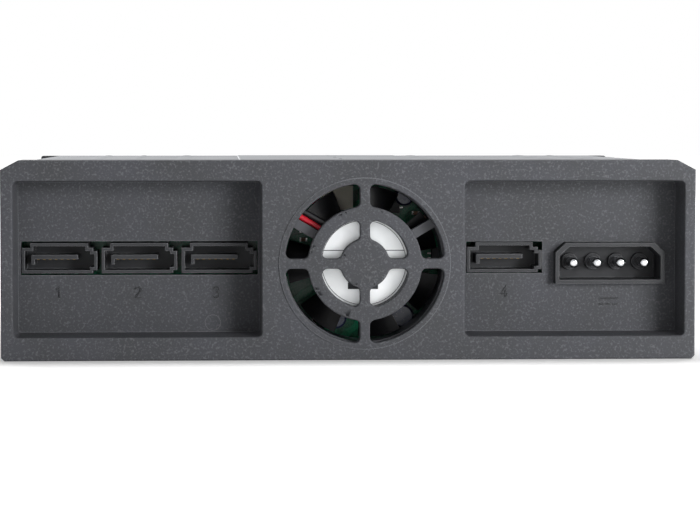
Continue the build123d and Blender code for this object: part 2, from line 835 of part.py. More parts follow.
def rear_housing():
    """The moulded rear: two deep recesses, the fan grille and the board's bosses."""
    outline = housing_outline()
    front_y = steel_rear_y + fit_gap
    body = rear_prism(outline, front_y, rear_face_y)
    body = fillet(body.edges().filter_by(Plane.XZ).group_by(Axis.Y)[-1], housing_edge_r)
    inner_h = cage_h - 2 * housing_wall
    inner = Pos(0, cage_h / 2) * Rectangle(cage_w - 2 * housing_wall, inner_h)
    body -= rear_prism(inner, front_y - 1, wall_inner_y)
    recesses = ((port_recess_x, port_recess_w), (power_recess_x, power_recess_w))
    for x, width in recesses:
        body += recess_tub(x, width)
    for x, z in board_holes:
        body += rear_rod(x, z, boss_r, board_rear_y, recess_back_y + boss_fuse)
        body -= rear_rod(x, z, small_screw_r, board_rear_y, recess_back_y + boss_blind[0])
    for tongue in housing_tongues():
        body += tongue
    body += grille_disc()
    for x, width in recesses:
        body -= recess_cut(x, width)
        body = fillet(recess_mouth(body, x, width), recess_edge_r)
    body -= port_openings()
    body -= rear_prism(inlet_outline(-inlet_gap), recess_back_y - 1, recess_floor_y + 1)
    body -= grille_slots()
    slot_low = (-grille_x - grille_disc_r + 1, rear_face_y, grille_z - grille_disc_r + 1)
    slot_high = (-grille_x + grille_disc_r - 1, rear_face_y + 1, grille_z + grille_disc_r - 1)
    body = fillet(edges_between(body, slot_low, slot_high), slot_edge_r)
    for x, z in fan_corners():
        body += rear_rod(x, z, fan_boss_r, fan_rear_y, wall_inner_y + boss_fuse)
        body -= rear_rod(x, z, small_screw_r, fan_rear_y, wall_inner_y + boss_blind[1])
    _, housing_sites = screw_sites()
    for x, y in housing_sites:
        body -= upright_rod(x, y, screw_r, -1, cage_h + 1)
        body -= Pos(x, y, 0) * countersink(0, -1)
    return body


def backplane_board():
    """The upright board with screw holes and vents between its sockets."""
    middle_z = board_low_z + board_h / 2
    outline = Pos(0, middle_z) * RectangleRounded(board_w, board_h, board_corner_r)
    for x, z in board_holes:
        outline -= Pos(x, z) * Circle(board_hole_r)
    for x, z in board_vent_places:
        outline -= Pos(x, z) * RectangleRounded(board_vent[0], board_vent[1], board_corner_r)
    return rear_prism(outline, board_y, board_rear_y)


def socket_places():
    """The middle of each drive socket: X and Z."""
    low = drive_low_z + socket_rise
    return [(side * tray_x + socket_x, level + low) for side in (1, -1) for level in level_floors]


def drive_socket(x, z):
    """One blade socket with two guide posts and a keyed slot."""
    front_y = board_y - socket_len
    half_h = socket_h / 2
    half = socket_w / 2
    step_y = front_y + socket_ridge_len
    ridge_half = half - socket_ridge_in
    body = slab((x - half, x + half), (step_y, board_y), (z - half_h, z + half_h))
    ridge = slab((x - ridge_half, x + ridge_half), (front_y, board_y), (z - half_h, z + half_h))
    body += chamfer(ridge.edges().group_by(Axis.Y)[0], socket_edge)
    slot_z = (z - socket_slot_h / 2, z + socket_slot_h / 2)
    slot_half = half - socket_slot_in
    key_low = socket_key_x - socket_key_gap[0]
    key_high = socket_key_x + socket_key_gap[1]
    for low, high in ((-slot_half, key_low), (key_high, slot_half)):
        body -= slab((x + low, x + high), (front_y - 1, front_y + socket_slot_len), slot_z)
    post_w, post_len = socket_post
    for side in (1, -1):
        outer = x + side * half
        inner = x + side * (half - post_w)
        post_z = (z - socket_post_h / 2, z + socket_post_h / 2)
        body += slab((outer, inner), (step_y - post_len, step_y + 0.1), post_z)
    return body


def drive_sockets():
    """The four drive sockets on the front of the board."""
    return [drive_socket(x, z) for x, z in socket_places()]


def data_port(x):
    """One data port with its keyed mouth and L-shaped tongue."""
    place = Pos(x, port_z)
    body = rear_prism(place * port_outline(0), board_rear_y, port_mouth_y)
    cavity_y = port_mouth_y - port_cavity
    body -= rear_prism(place * port_outline(-port_wall), cavity_y, port_mouth_y + 1)
    left = x - port_w / 2 + tongue_place[0]
    top = port_z + port_h / 2 - tongue_place[1]
    bar_w, bar_h = tongue_bar
    leg_w, leg_h = tongue_leg
    bar = Pos(left + bar_w / 2, top - bar_h / 2) * Rectangle(bar_w, bar_h)
    leg = Pos(left + leg_w / 2, top - bar_h + 0.15 - leg_h / 2) * Rectangle(leg_w, leg_h)
    return body + rear_prism(bar + leg, cavity_y - 0.5, port_mouth_y - tongue_back)


def port_contacts():
    """Contact strips on the underside of each port's tongue."""
    strips = []
    under = port_z + port_h / 2 - tongue_place[1] - tongue_bar[1]
    y_span = (port_mouth_y - port_cavity, port_mouth_y - contact_back)
    for port_x in port_xs:
        first = port_x - port_w / 2 + contact_first
        for i in range(contact_count):
            x = -(first + i * contact_pitch)
            x_span = (x - contact_w / 2, x + contact_w / 2)
            strips.append(slab(x_span, y_span, (under - contact_t, under)))
    return strips


def power_inlet():
    """The four-way power inlet's shroud with collars round its pins."""
    body = rear_prism(inlet_outline(0), board_rear_y, inlet_mouth_y)
    body -= rear_prism(inlet_outline(inlet_wall), inlet_floor_y, inlet_mouth_y + 1)
    for x in inlet_pin_xs():
        body += rear_rod(x, inlet_z, collar_r, inlet_floor_y - 0.5, inlet_floor_y + collar_len)
        body -= rear_rod(x, inlet_z, pin_r, board_y - 1, inlet_mouth_y)
    return body


def inlet_pin_xs():
    """Where the four power pins stand, seen from behind."""
    return [inlet_x + (i - 1.5) * pin_pitch for i in range(4)]


def power_pins():
    """The four round-nosed power pins, through to the board."""
    pins = []
    for x in inlet_pin_xs():
        pin = rear_rod(x, inlet_z, pin_r, board_rear_y, pin_tip_y)
        pins.append(fillet(pin.edges().group_by(Axis.Y)[-1], pin_nose_r))
    return pins


def polar(radius, angle):
    """A point on a circle round the fan's middle, seen from behind."""
    turn = math.radians(angle)
    return grille_x + radius * math.cos(turn), grille_z + radius * math.sin(turn)


def strut(angle):
    """A spoke of the fan frame from its hub to its rim."""
    start = (label_r + hub_plate_r) / 2
    end = fan_bore_r + 0.5
    bar = Pos((start + end) / 2, 0) * Rectangle(end - start, strut_w)
    return rear_prism(Pos(grille_x, grille_z) * Rot(0, 0, angle) * bar, hub_plate_y, fan_rear_y)


def lead_line(colour):
    """The straight stretch of a lead beside its strut: start and unit direction."""
    turn = math.radians(strut_angles[1])
    along = (math.cos(turn), math.sin(turn))
    across = (math.sin(turn), -math.cos(turn))
    side = lead_offsets[colour]
    x, z = polar(lead_start_r, strut_angles[1])
    return (x + side * across[0], z + side * across[1]), along


def lead_notch():
    """The channel in the fan frame's rim that lets both leads out."""
    start, along = lead_line("red")
    offsets = list(lead_offsets.values())
    width = offsets[1] - offsets[0] + lead_d + 2 * lead_notch_gap
    centre = (offsets[1] - offsets[0]) / 2
    turn = strut_angles[1]
    across = (math.sin(math.radians(turn)), -math.cos(math.radians(turn)))
    place = Pos(start[0] + centre * across[0], start[1] + centre * across[1])
    near, far = lead_notch_run
    bar = Pos((near + far) / 2, 0) * Rectangle(far - near, width)
    low_y = fan_rear_y - lead_notch_depth
    return rear_prism(place * Rot(0, 0, turn) * bar, low_y, fan_rear_y + 1)


def fan_frame():
    """The square fan body with its round duct, hub plate, struts and bearing tube."""
    place = Pos(grille_x, grille_z)
    outline = place * RectangleRounded(fan_size, fan_size, fan_corner_r)
    body = rear_prism(outline, fan_front_y, fan_rear_y)
    for x, z in fan_corners():
        body -= rear_rod(x, z, fan_hole_r, fan_front_y, fan_rear_y)
    body -= rear_prism(place * Circle(fan_bore_r), fan_front_y - 1, fan_rear_y + 1)
    body -= lead_notch()
    for angle in strut_angles:
        body += strut(angle)
    body += rear_rod(grille_x, grille_z, hub_plate_r, hub_plate_y, hub_plate_y + hub_plate_t)
    tube_r = bearing_r + bearing_wall
    tube_y = hub_plate_y - bearing_len - 2 * bearing_inset
    body += rear_rod(grille_x, grille_z, tube_r, tube_y, hub_plate_y + 0.5)
    body -= rear_rod(grille_x, grille_z, bearing_r, tube_y - 1, hub_plate_y + bearing_inset)
    return body


def fan_stator():
    """Four wound poles pressed on the bearing tube."""
    inner = bearing_r + bearing_wall
    core = Circle(inner + stator_core)
    shoe_t, shoe_w = stator_shoe
    arm_len = stator_r - shoe_t / 2
    for quarter in range(4):
        arm = Pos(arm_len / 2, 0) * Rectangle(arm_len, stator_arm_w)
        shoe = Circle(stator_r) - Circle(stator_r - shoe_t)
        shoe = shoe & (Pos(stator_r - shoe_t, 0) * Rectangle(3 * shoe_t, shoe_w))
        core += Rot(0, 0, 90 * quarter) * (arm + shoe)
    core -= Circle(inner)
    mid_y = hub_plate_y - stator_depth
    place = Pos(grille_x, grille_z)
    half = stator_len / 2
    body = rear_prism(place * core, mid_y - half + stator_step, mid_y + half - stator_step)
    for quarter in range(4):
        coil = Pos(inner + coil_out, 0) * Rectangle(*coil_size)
        body += rear_prism(place * Rot(0, 0, 90 * quarter) * coil, mid_y - half, mid_y + half)
    return body


def fan_bearing():
    """The sleeve that carries the shaft."""
    top = hub_plate_y + bearing_inset
    ring = Pos(grille_x, grille_z) * (Circle(bearing_r) - Circle(shaft_r + shaft_run_gap))
    return rear_prism(ring, top - bearing_len, top)


def blade_section(radius, chord, pitch):
    """A cambered blade section in a plane square to the radius."""
    half = chord / 2
    thin = blade_t / 2
    upper = ThreePointArc((-half, 0), (0, blade_camber + thin), (half, 0))
    lower = ThreePointArc((-half, 0), (0, blade_camber - thin), (half, 0))
    face = make_face([upper, lower])
    plane = Plane(origin=(radius, 0, 0), x_dir=(0, 1, 0), z_dir=(1, 0, 0))
    return plane * Rot(0, 0, pitch) * face


def fan_blade():
    """One twisted blade, its axis along Z."""
    root = blade_section(rotor_r - 0.6, blade_chord_root, blade_pitch_root)
    tip = blade_section(blade_tip_r, blade_chord_tip, blade_pitch_tip)
    blade = loft([root, tip], ruled=False)
    limit = Cylinder(blade_tip_r, rotor_len - 0.4)
    return blade & limit


def fan_axis(y):
    """Turns a shape made about Z so that its +Z points to the rear, at a depth."""
    return Pos(-grille_x, y, grille_z) * Rot(-90, 0, 0)


def fan_rotor():
    """The hub cup with its ring of blades, open towards the hub plate."""
    cup = Cylinder(rotor_r, rotor_len)
    cup = fillet(cup.edges().group_by(Axis.Z)[0], rotor_edge_r)
    cup -= Pos(0, 0, rotor_floor) * Cylinder(rotor_r - rotor_wall, rotor_len)
    blade = fan_blade()
    for i in range(blade_count):
        cup += Rot(0, 0, 360 / blade_count * i) * (blade - Cylinder(rotor_r - 0.4, rotor_len + 1))
    cup -= Pos(0, 0, -rotor_len / 2) * Cylinder(shaft_r, rotor_boss_len)
    return fan_axis(rotor_front_y + rotor_len / 2) * cup


def fan_shaft():
    """The steel shaft pressed in the hub cup."""
    return rear_rod(grille_x, grille_z, shaft_r, rotor_front_y + 0.2, hub_plate_y - 0.1)


def fan_magnet():
    """The ring magnet lining the hub cup."""
    outer = rotor_r - rotor_wall
    ring = Pos(grille_x, grille_z) * (Circle(outer) - Circle(outer - magnet_t))
    return rear_prism(ring, rotor_front_y + magnet_span[0], rotor_rear_y - magnet_span[1])


def lead_points(colour):
    """The route of one fan lead: beside the strut, round the frame, into its plug."""
    (x, z), along = lead_line(colour)
    reach = (lead_drop_x - x) / along[0]
    drop_z = z + reach * along[1]
    route = [(x, lead_plane_y, z), (lead_drop_x, lead_plane_y, drop_z)]
    route += [(lead_drop_x, lead_board_y, drop_z), (lead_plug_x, lead_board_y, drop_z)]
    return [(-a, b, c) for a, b, c in route]


def bend_radii(points):
    """Each corner's radius: as large as its two runs allow."""
    radii = []
    for a, b, c in zip(points, points[1:], points[2:]):
        first = Vector(*b) - Vector(*a)
        second = Vector(*c) - Vector(*b)
        half_turn = math.radians(first.get_angle(second) / 2)
        radii.append(0.45 * min(first.length, second.length) / math.tan(half_turn))
    return radii


def fan_lead(colour):
    """A tube along a lead's route."""
    points = lead_points(colour)
    radii = bend_radii(points)
    print("lead", colour, "bend radii", [round(r, 2) for r in radii])
    path = FilletPolyline(*points, radius=radii)
    start = Plane(origin=points[0], z_dir=Vector(*points[1]) - Vector(*points[0]))
    tube = sweep(start * Circle(lead_d / 2), path=path)
    print("lead", colour, "length", round(path.length, 2))
    return tube


def plug_middle_z():
    """Halfway between the two leads where they enter the plug."""
    return sum(lead_points(colour)[-1][2] for colour in lead_offsets) / 2


def fan_plug():
    """The two-way plug on the leads."""
    length, depth, height = plug_size
    z = plug_middle_z()
    x_span = (-lead_plug_x - length, -lead_plug_x)
    low_play, high_play = plug_play
    y_span = (lead_board_y - depth / 2 + low_play, lead_board_y + depth / 2 - high_play)
    half_h = height / 2 - plug_wall
    body = slab(x_span, y_span, (z - half_h, z + half_h))
    return chamfer(body.edges().filter_by(Axis.X), plug_edge)


def fan_header():
    """The open-sided socket on the board that takes the plug."""
    length, depth, height = plug_size
    z = plug_middle_z()
    back, front = header_end
    low_play, high_play = plug_play
    x_span = (-lead_plug_x - length - back, -lead_plug_x - front)
    y_span = (board_rear_y, lead_board_y + depth / 2 + header_proud)
    body = slab(x_span, y_span, (z - height / 2, z + height / 2))
    hole_low_y = lead_board_y - depth / 2 + low_play - fit_gap
    hole_y = (hole_low_y, lead_board_y + depth / 2 - high_play + fit_gap)
    hole_x = (-lead_plug_x - length - fit_gap, 1.0 - lead_plug_x)
    hole_h = height / 2 - plug_wall + fit_gap
    return body - slab(hole_x, hole_y, (z - hole_h, z + hole_h))


def fan_label():
    """The bare round label on the hub plate."""
    y = hub_plate_y + hub_plate_t
    return rear_rod(grille_x, grille_z, label_r, y, y + label_t)


def status_lamps():
    """A small lamp on the board behind each tray's light guide."""
    lamps = []
    for side in (1, -1):
        for level in level_floors:
            x = side * tray_x + guide_x
            z = level + guide_z
            half = lamp_w / 2
            y_span = (guide_rear_y + lamp_gap, board_y)
            lamp = slab((x - half, x + half), y_span, (z - half, z + half))
            lamps.append(chamfer(lamp.edges().group_by(Axis.Y)[0], lamp_edge))
    return lamps


def board_capacitors():
    """Round capacitors lying in the open middle of the board's rear face."""
    cans = []
    for x, z, radius, height in capacitors:
        can = rear_rod(grille_x + x, grille_z + z, radius, board_rear_y, board_rear_y + height)
        cans.append(chamfer(can.edges().group_by(Axis.Y)[-1], capacitor_edge))
    return cans


def fan_screws():
    """Screws through the fan's corners into the housing's bosses."""
    length = fan_depth + fan_screw_reach
    screws = []
    for x, z in fan_corners():
        screw = round_screw(small_screw_r, small_head_r, small_head_h, length)
        screws.append(Pos(-x, fan_front_y, z) * Rot(90, 0, 0) * screw)
    return screws


def board_screws():
    """Screws that hold the board on the housing's bosses."""
    screws = []
    for x, z in board_holes:
        screw = round_screw(small_screw_r, small_head_r, small_head_h, board_t + board_screw_reach)
        screws.append(Pos(-x, board_y, z) * Rot(90, 0, 0) * screw)
    return screws


def cover_screws():
    """Countersunk screws through the cover into the chassis flanges."""
    sites, _ = screw_sites()
    screw = flat_screw(screw_r, screw_head_r, 2 * sheet_t + screw_reach)
    return [Pos(x, y, cover_top_z) * screw for x, y in sites]


def housing_screws():
    """Countersunk screws through the steel into the housing's tongues."""
    _, sites = screw_sites()
    screw = flat_screw(screw_r, screw_head_r, 2 * sheet_t + tongue_t)
    low = flat_screw(screw_r, screw_head_r, sheet_t + tongue_t)
    screws = [Pos(x, y, cover_top_z) * screw for x, y in sites]
    return screws + [Pos(x, y, 0) * Rot(180, 0, 0) * low for x, y in sites]


def sled():
    """The folded steel tray with one tall flange for the light guide."""
    half = sled_w / 2
    low = slide_gap
    outside = [(half, sled_high_h), (half, low), (-half, low), (-half, low + sled_low_h)]
    body = front_prism(bent_sheet(outside, sled_t, sled_bend_r), sled_front_y, sled_rear_y)
    front_x = (sled_front_in - half, half - sled_front_in)
    front_y = (sled_front_y, sled_front_y + sled_t)
    body += slab(front_x, front_y, (low + 0.1, sled_front_h))
    cut_low, cut_high, cut_back = sled_side_cut
    cut_z = (cut_low, sled_high_h - cut_high)
    body -= slab((half - 1, half + 1), (sled_front_y, sled_rear_y - cut_back), cut_z)
    outline = Sketch()
    window = RectangleRounded(sled_window_w, sled_window_len, sled_window_r)
    for x in sled_windows:
        for y in sled_window_ys:
            outline += Pos(x, y) * window
    for x in (drive_hole_x, -drive_hole_x):
        for y in drive_hole_ys:
            outline += Pos(x, y) * Circle(drive_hole_r)
    socket_cut = Rectangle(socket_w + sled_socket_cut[0], sled_socket_cut[1])
    outline += Pos(socket_x, sled_rear_y) * socket_cut
    body -= extrude(outline, amount=low + sled_t + 0.1)
    for x in (bezel_boss_x, -bezel_boss_x):
        body -= front_rod(x, bezel_mid_z, peg_r + fit_gap, sled_front_y - 1, sled_front_y + 1)
    vents = Sketch()
    for i in range(-sled_vent_side, sled_vent_side + 1):
        vents += Pos(i * sled_vent_pitch, bezel_mid_z - 1.0) * RectangleRounded(*sled_vent, sled_vent_r)
    return body - front_prism(vents, sled_front_y - 1, sled_front_y + 1)


def tray_bezel():
    """The moulded tray front: lever pocket, hinge ears, button well and vents."""
    half = bezel_w / 2
    low = bezel_low_z
    front = slab((-half, half), (bezel_y, bezel_step_y), (low, low + bezel_h))
    front = fillet(front.edges().group_by(Axis.Y)[0], bezel_edge_r)
    skirt_x = half - bezel_skirt_in
    skirt_z = (bezel_skirt_z, bezel_skirt_z + bezel_skirt_h)
    body = front + slab((-skirt_x, skirt_x), (bezel_step_y - 0.5, sled_front_y), skirt_z)
    wall = bezel_wall
    hollow_y = (pocket_floor_y + pocket_floor_t, sled_front_y + 1)
    hollow_z = (skirt_z[0] + wall, skirt_z[1] - wall)
    body -= slab((-skirt_x + wall, skirt_x - wall), hollow_y, hollow_z)
    pocket_half = lever_h / 2 + lever_gap
    pocket_z = (bezel_mid_z - pocket_half, bezel_mid_z + pocket_half)
    body -= slab((pocket_low_x, lever_end_x + lever_gap), (bezel_y - 1, pocket_floor_y), pocket_z)
    well = button_w / 2 + button_gap
    well_h = button_h / 2 + button_gap
    well_z = (bezel_mid_z - well_h, bezel_mid_z + well_h)
    body -= slab((button_x - well, button_x + well), (bezel_y - 1, hollow_y[0] + 1), well_z)
    web_y = bezel_y + button_proud + button_len + button_travel + bezel_web_gap
    web_z = (hollow_z[0] - 0.2, hollow_z[1] + 0.2)
    body += slab((button_x - well, button_x + well), (web_y, web_y + button_web_t), web_z)
    claw_half = claw_h / 2 + claw_gap
    claw_z = (bezel_mid_z - claw_half, bezel_mid_z + claw_half)
    window_y = (pocket_floor_y - 0.5, sled_front_y - 2.0)
    body -= slab((-half - 1, claw_window_x), window_y, claw_z)
    for i in (-1, 0, 1):
        x = bezel_vent_x + i * bezel_vent_pitch
        vent_x = (x - bezel_vent_w / 2, x + bezel_vent_w / 2)
        body -= slab(vent_x, (pocket_floor_y - 1, hollow_y[0] + 1), bezel_vent_z)
    arm_in, arm_half, arm_len = bezel_arm
    for x in (bezel_boss_x, -bezel_boss_x):
        y_from = hollow_y[0] - 0.2 if x > 0 else sled_front_y - bezel_boss_len
        arm_x = (x, math.copysign(skirt_x - arm_in, x))
        arm_z = (bezel_mid_z - arm_half, bezel_mid_z + arm_half)
        body += front_rod(x, bezel_mid_z, bezel_boss_r, y_from, sled_front_y)
        body += slab(arm_x, (max(y_from, sled_front_y - arm_len), sled_front_y), arm_z)
        wall_y = sled_front_y + sled_t
        body += front_rod(x, bezel_mid_z, peg_r, sled_front_y - 1, wall_y + peg_head_t)
        body += front_rod(x, bezel_mid_z, peg_head_r, wall_y, wall_y + peg_head_t)
    hole = guide_side / 2 + fit_gap
    guide_y = (bezel_y - 1, sled_front_y + 1)
    guide_cut_z = (guide_z - hole, guide_z + hole)
    body -= slab((guide_x - hole, guide_x + hole), guide_y, guide_cut_z)
    pin_z = (low + bezel_pin_skin, low + bezel_h - bezel_pin_skin)
    return body - upright_rod(hinge_x, hinge_y, lever_pin_r, *pin_z)


def lever_plate():
    """The lever's plate with a sloped front rim."""
    back = lever_front_y + lever_t
    start = hinge_x - lever_barrel_r * 0.6
    plate = slab((start, lever_end_x), (lever_front_y, back), (-lever_h / 2, lever_h / 2))
    return chamfer(plate.edges().group_by(Axis.Y)[0], lever_rim)


def lever():
    """The pivoting front lever with an airy hexagon grid, a grip and a claw."""
    body = lever_plate()
    barrel_h = lever_h / 2
    body += upright_rod(hinge_x, hinge_y, lever_barrel_r, -barrel_h, barrel_h)
    tip_x = -sled_w / 2 - bay_gap - claw_reach
    points = [(hinge_x + 1.6, hinge_y + 1.0), (hinge_x - 0.6, hinge_y + 1.6)]
    points += [(tip_x, claw_tip_y), (tip_x, claw_tip_y + claw_tip_len)]
    points += [(tip_x + claw_thick, claw_tip_y + claw_tip_len), (hinge_x + 1.6, hinge_y + 5.4)]
    claw = extrude(make_face(Polyline(*points, close=True)), amount=claw_h / 2, both=True)
    body += claw
    body -= upright_rod(hinge_x, hinge_y, lever_pin_r + lever_pin_gap, -lever_h, lever_h)
    holes = Sketch()
    pitch_z = lever_hex_pitch * math.sqrt(3) / 2
    side_rows = int((lever_h / 2 - lever_hex_margin - lever_hex_r) / pitch_z)
    run = lever_end_x - lever_hex_last - hinge_x - lever_hex_first
    columns = int(run / lever_hex_pitch + 0.01) + 1
    for row in range(-side_rows, side_rows + 1):
        shift = 0.0 if row % 2 else 0.5
        for column in range(columns if row % 2 else columns - 1):
            x = hinge_x + lever_hex_first + (column + shift) * lever_hex_pitch
            holes += Pos(x, row * pitch_z) * RegularPolygon(lever_hex_r, 6, rotation=90)
    body -= front_prism(holes, lever_front_y - 1, lever_front_y + lever_t + 1)
    grip_end_x = lever_end_x - lever_grip_end
    grip_x = (grip_end_x - lever_grip_w, grip_end_x)
    width, depth, pitch = lever_groove
    for i in range(lever_groove_count):
        z = (i - (lever_groove_count - 1) / 2) * pitch
        groove_z = (z - width / 2, z + width / 2)
        body -= slab(grip_x, (lever_front_y - 1, lever_front_y + depth), groove_z)
    return Pos(0, 0, bezel_mid_z) * body


def lever_pin():
    """The pin through the lever's barrel, held in the bezel above and below."""
    pin_z = (bezel_low_z + bezel_pin_skin, bezel_low_z + bezel_h - bezel_pin_skin)
    return upright_rod(hinge_x, hinge_y, lever_pin_r, *pin_z)


def release_button():
    """The push button with a dished face and a hollow back."""
    y = bezel_y + button_proud
    half = button_w / 2
    half_h = button_h / 2
    z_span = (bezel_mid_z - half_h, bezel_mid_z + half_h)
    body = slab((button_x - half, button_x + half), (y, y + button_len), z_span)
    body = fillet(body.edges().group_by(Axis.Y)[0], button_edge_r)
    dish_r, dish_depth, dish_border = button_dish
    dish = Pos(button_x, y - dish_r + dish_depth, bezel_mid_z) * Cylinder(dish_r, button_h - dish_border)
    inner_z = (z_span[0] + button_wall, z_span[1] - button_wall)
    hollow_x = (button_x - half + button_wall, button_x + half - button_wall)
    return body - dish - slab(hollow_x, (y + button_face_t, y + button_len + 1), inner_z)


def button_spring():
    """A folded leaf spring between the button and the web behind it."""
    front_gap, back_gap = button_spring_gap
    y_front = bezel_y + button_proud + button_face_t + front_gap
    y_back = bezel_y + button_proud + button_len + button_travel + bezel_web_gap - back_gap
    x = button_x - button_spring_w / 2 + 0.2
    reach = button_spring_w - 0.4
    outside = [(x, y_front), (x + reach, y_front), (x + 0.4, (y_front + y_back) / 2)]
    outside += [(x + reach, y_back), (x, y_back)]
    inside = inward_path(outside, -button_spring_t)
    outline = make_face(Polyline(*outside, *reversed(inside), close=True))
    half = button_h / 2 - button_spring_border
    return Pos(0, 0, bezel_mid_z) * extrude(outline, amount=half, both=True)


def light_guide():
    """The clear bar from the lamp to the bezel's face."""
    half = guide_side / 2
    x_span = (guide_x - half, guide_x + half)
    y_span = (bezel_y + guide_front, guide_rear_y)
    return slab(x_span, y_span, (guide_z - half, guide_z + half))


def tray_places():
    """Each tray's place: number, X and level."""
    order = [(side, level) for level in reversed(level_floors) for side in (1, -1)]
    return [(i + 1, side * tray_x, level) for i, (side, level) in enumerate(order)]


def cage_pieces():
    """Every fixed piece and the fan, by node name."""
    pieces = {
        "chassis_shell": chassis_shell(),
        "top_cover": top_cover(),
        "centre_divider": centre_divider(),
        "front_frame": front_frame(),
        "rear_housing": rear_housing(),
        "backplane_board": backplane_board(),
        "drive_sockets": drive_sockets(),
        "data_port_contacts": port_contacts(),
        "power_inlet": power_inlet(),
        "power_pins": power_pins(),
        "fan_frame": fan_frame(),
        "fan_stator": fan_stator(),
        "fan_bearing": fan_bearing(),
        "fan_label": fan_label(),
        "fan_lead_red": fan_lead("red"),
        "fan_lead_black": fan_lead("black"),
        "fan_plug": fan_plug(),
        "fan_header": fan_header(),
        "fan_rotor": fan_rotor(),
        "fan_shaft": fan_shaft(),
        "fan_magnet": fan_magnet(),
        "fan_screws": fan_screws(),
        "board_screws": board_screws(),
        "cover_screws": cover_screws(),
        "housing_screws": housing_screws(),
        "status_lamps": status_lamps(),
        "board_capacitors": board_capacitors(),
    }
    for i, x in enumerate(port_xs):
        pieces[f"data_port_{i + 1}"] = data_port(x)
    return pieces


def tray_pieces():
    """The pieces of one tray, in tray axes."""
    return {
        "sled": sled(),
        "bezel": tray_bezel(),
        "light_guide": light_guide(),
        "lever": lever(),
        "lever_pin": lever_pin(),
        "release_button": release_button(),
        "button_spring": button_spring(),
    }


def as_group(shape):
    """One shape for export, also from a list of separate solids."""
    return Compound(children=shape) if isinstance(shape, list) else shape


nodes = cage_pieces()
one_tray = tray_pieces()
for number, x, level in tray_places():
    for name, piece in one_tray.items():
        nodes[f"tray_{number}_{name}"] = Pos(x, 0, level) * piece

for name, shape in nodes.items():
    export_step(as_group(shape), f"parts/{name}.step")
print(len(nodes), "nodes written")
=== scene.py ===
"""The looks of a hot swap drive cage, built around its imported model.

Everything is in metres, in the frame of the model: +Z up, +Y towards the rear face with
the ports, trays leaving towards -Y. Sizes named _mm are millimetres.
"""

import json
import logging
import math
from collections.abc import Sequence
from dataclasses import dataclass, field
from enum import Enum

import bmesh
import bpy
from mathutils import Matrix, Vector

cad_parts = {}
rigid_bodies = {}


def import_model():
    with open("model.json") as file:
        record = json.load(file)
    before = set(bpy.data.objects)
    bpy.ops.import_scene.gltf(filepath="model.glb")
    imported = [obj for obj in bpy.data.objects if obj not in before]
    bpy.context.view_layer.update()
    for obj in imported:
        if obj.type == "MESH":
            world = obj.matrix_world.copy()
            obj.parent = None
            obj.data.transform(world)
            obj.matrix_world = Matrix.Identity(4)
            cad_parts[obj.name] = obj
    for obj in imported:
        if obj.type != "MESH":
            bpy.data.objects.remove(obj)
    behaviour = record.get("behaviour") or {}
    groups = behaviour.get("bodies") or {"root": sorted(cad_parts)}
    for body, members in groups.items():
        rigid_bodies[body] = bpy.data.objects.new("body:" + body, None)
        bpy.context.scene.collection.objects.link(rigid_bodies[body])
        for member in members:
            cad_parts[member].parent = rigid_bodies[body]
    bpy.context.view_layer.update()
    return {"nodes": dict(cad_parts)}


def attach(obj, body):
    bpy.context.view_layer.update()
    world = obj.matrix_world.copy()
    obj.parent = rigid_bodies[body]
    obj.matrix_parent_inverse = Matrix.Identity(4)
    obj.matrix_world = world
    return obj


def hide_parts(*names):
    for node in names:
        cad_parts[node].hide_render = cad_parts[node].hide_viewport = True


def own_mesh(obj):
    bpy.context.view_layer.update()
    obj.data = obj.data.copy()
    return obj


for leftover in list(bpy.data.objects):
    bpy.data.objects.remove(leftover)

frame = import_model()

log = logging.getLogger("drive_cage")

Colour = tuple[float, float, float, float]
Triple = tuple[float, float, float]
Pair = tuple[float, float]
Socket = bpy.types.NodeSocket
Tree = bpy.types.NodeTree
Mesh = bmesh.types.BMesh

MM = 0.001

# Sheets are rolled along Y, so their grain is drawn out that way
ROLL_STRETCH = (1.0, 0.04, 1.0)
# Spark pits: their scale against the grain's, and their share in the relief
PIT_SCALE = 0.8
PIT_SHARE = 0.7
# The part of each pattern that makes blotches, painted glints on single grains and roughness
BLOTCH_RANGE = (0.35, 0.68)
PAINTED_GLINT_RANGE = (0.88, 1.12)
ROUGH_RANGE = (0.3, 0.8)
# Cosine of the bend at which an edge fully takes its rubbed wear and painted highlight
EDGE_COSINE = 0.72
# Where marks start out of their face in mm, so that no gap shows
SUNK = -0.02
# Least cosine of a mitred corner, and a stroke's width at its top
MITRE_LIMIT = 0.6
STROKE_TOP = 0.8


def linear(code: str, alpha: float = 1.0) -> Colour:
    """Turn an sRGB hex code into a linear colour.

    Args:
        code: Six hex digits with a leading hash.
        alpha: The alpha to add.

    Returns:
        Linear red, green and blue, with alpha.
    """
    parts = [int(code[i:i + 2], 16) / 255 for i in (1, 3, 5)]
    turned = [c / 12.92 if c <= 0.04045 else ((c + 0.055) / 1.055) ** 2.4 for c in parts]
    return (turned[0], turned[1], turned[2], alpha)


def per_mm(size_mm: float) -> float:
    """The scale of a texture whose features are this many millimetres across."""
    return 1.0 / (size_mm * MM)


def add_node(tree: Tree, kind: str, settings: dict | None = None,
             inputs: dict | None = None) -> bpy.types.Node:
    """Add a shader node with its settings and links.

    Args:
        tree: The node tree to add to.
        kind: The node's type name.
        settings: Properties to set on the node.
        inputs: Values or output sockets for its inputs, by name or index.

    Returns:
        The new node.
    """
    node = tree.nodes.new(kind)
    for name, value in (settings or {}).items():
        setattr(node, name, value)
    for name, value in (inputs or {}).items():
        socket = node.inputs[name]
        if isinstance(value, Socket):
            tree.links.new(value, socket)
        else:
            socket.default_value = value
    return node


def maths(tree: Tree, operation: str, *values: "float | Socket") -> Socket:
    """Combine values by a maths node.

    Args:
        tree: The node tree to add to.
        operation: The operation's name.
        *values: Its inputs in order.

    Returns:
        The result.
    """
    node = add_node(tree, "ShaderNodeMath", {"operation": operation}, dict(enumerate(values)))
    return node.outputs[0]


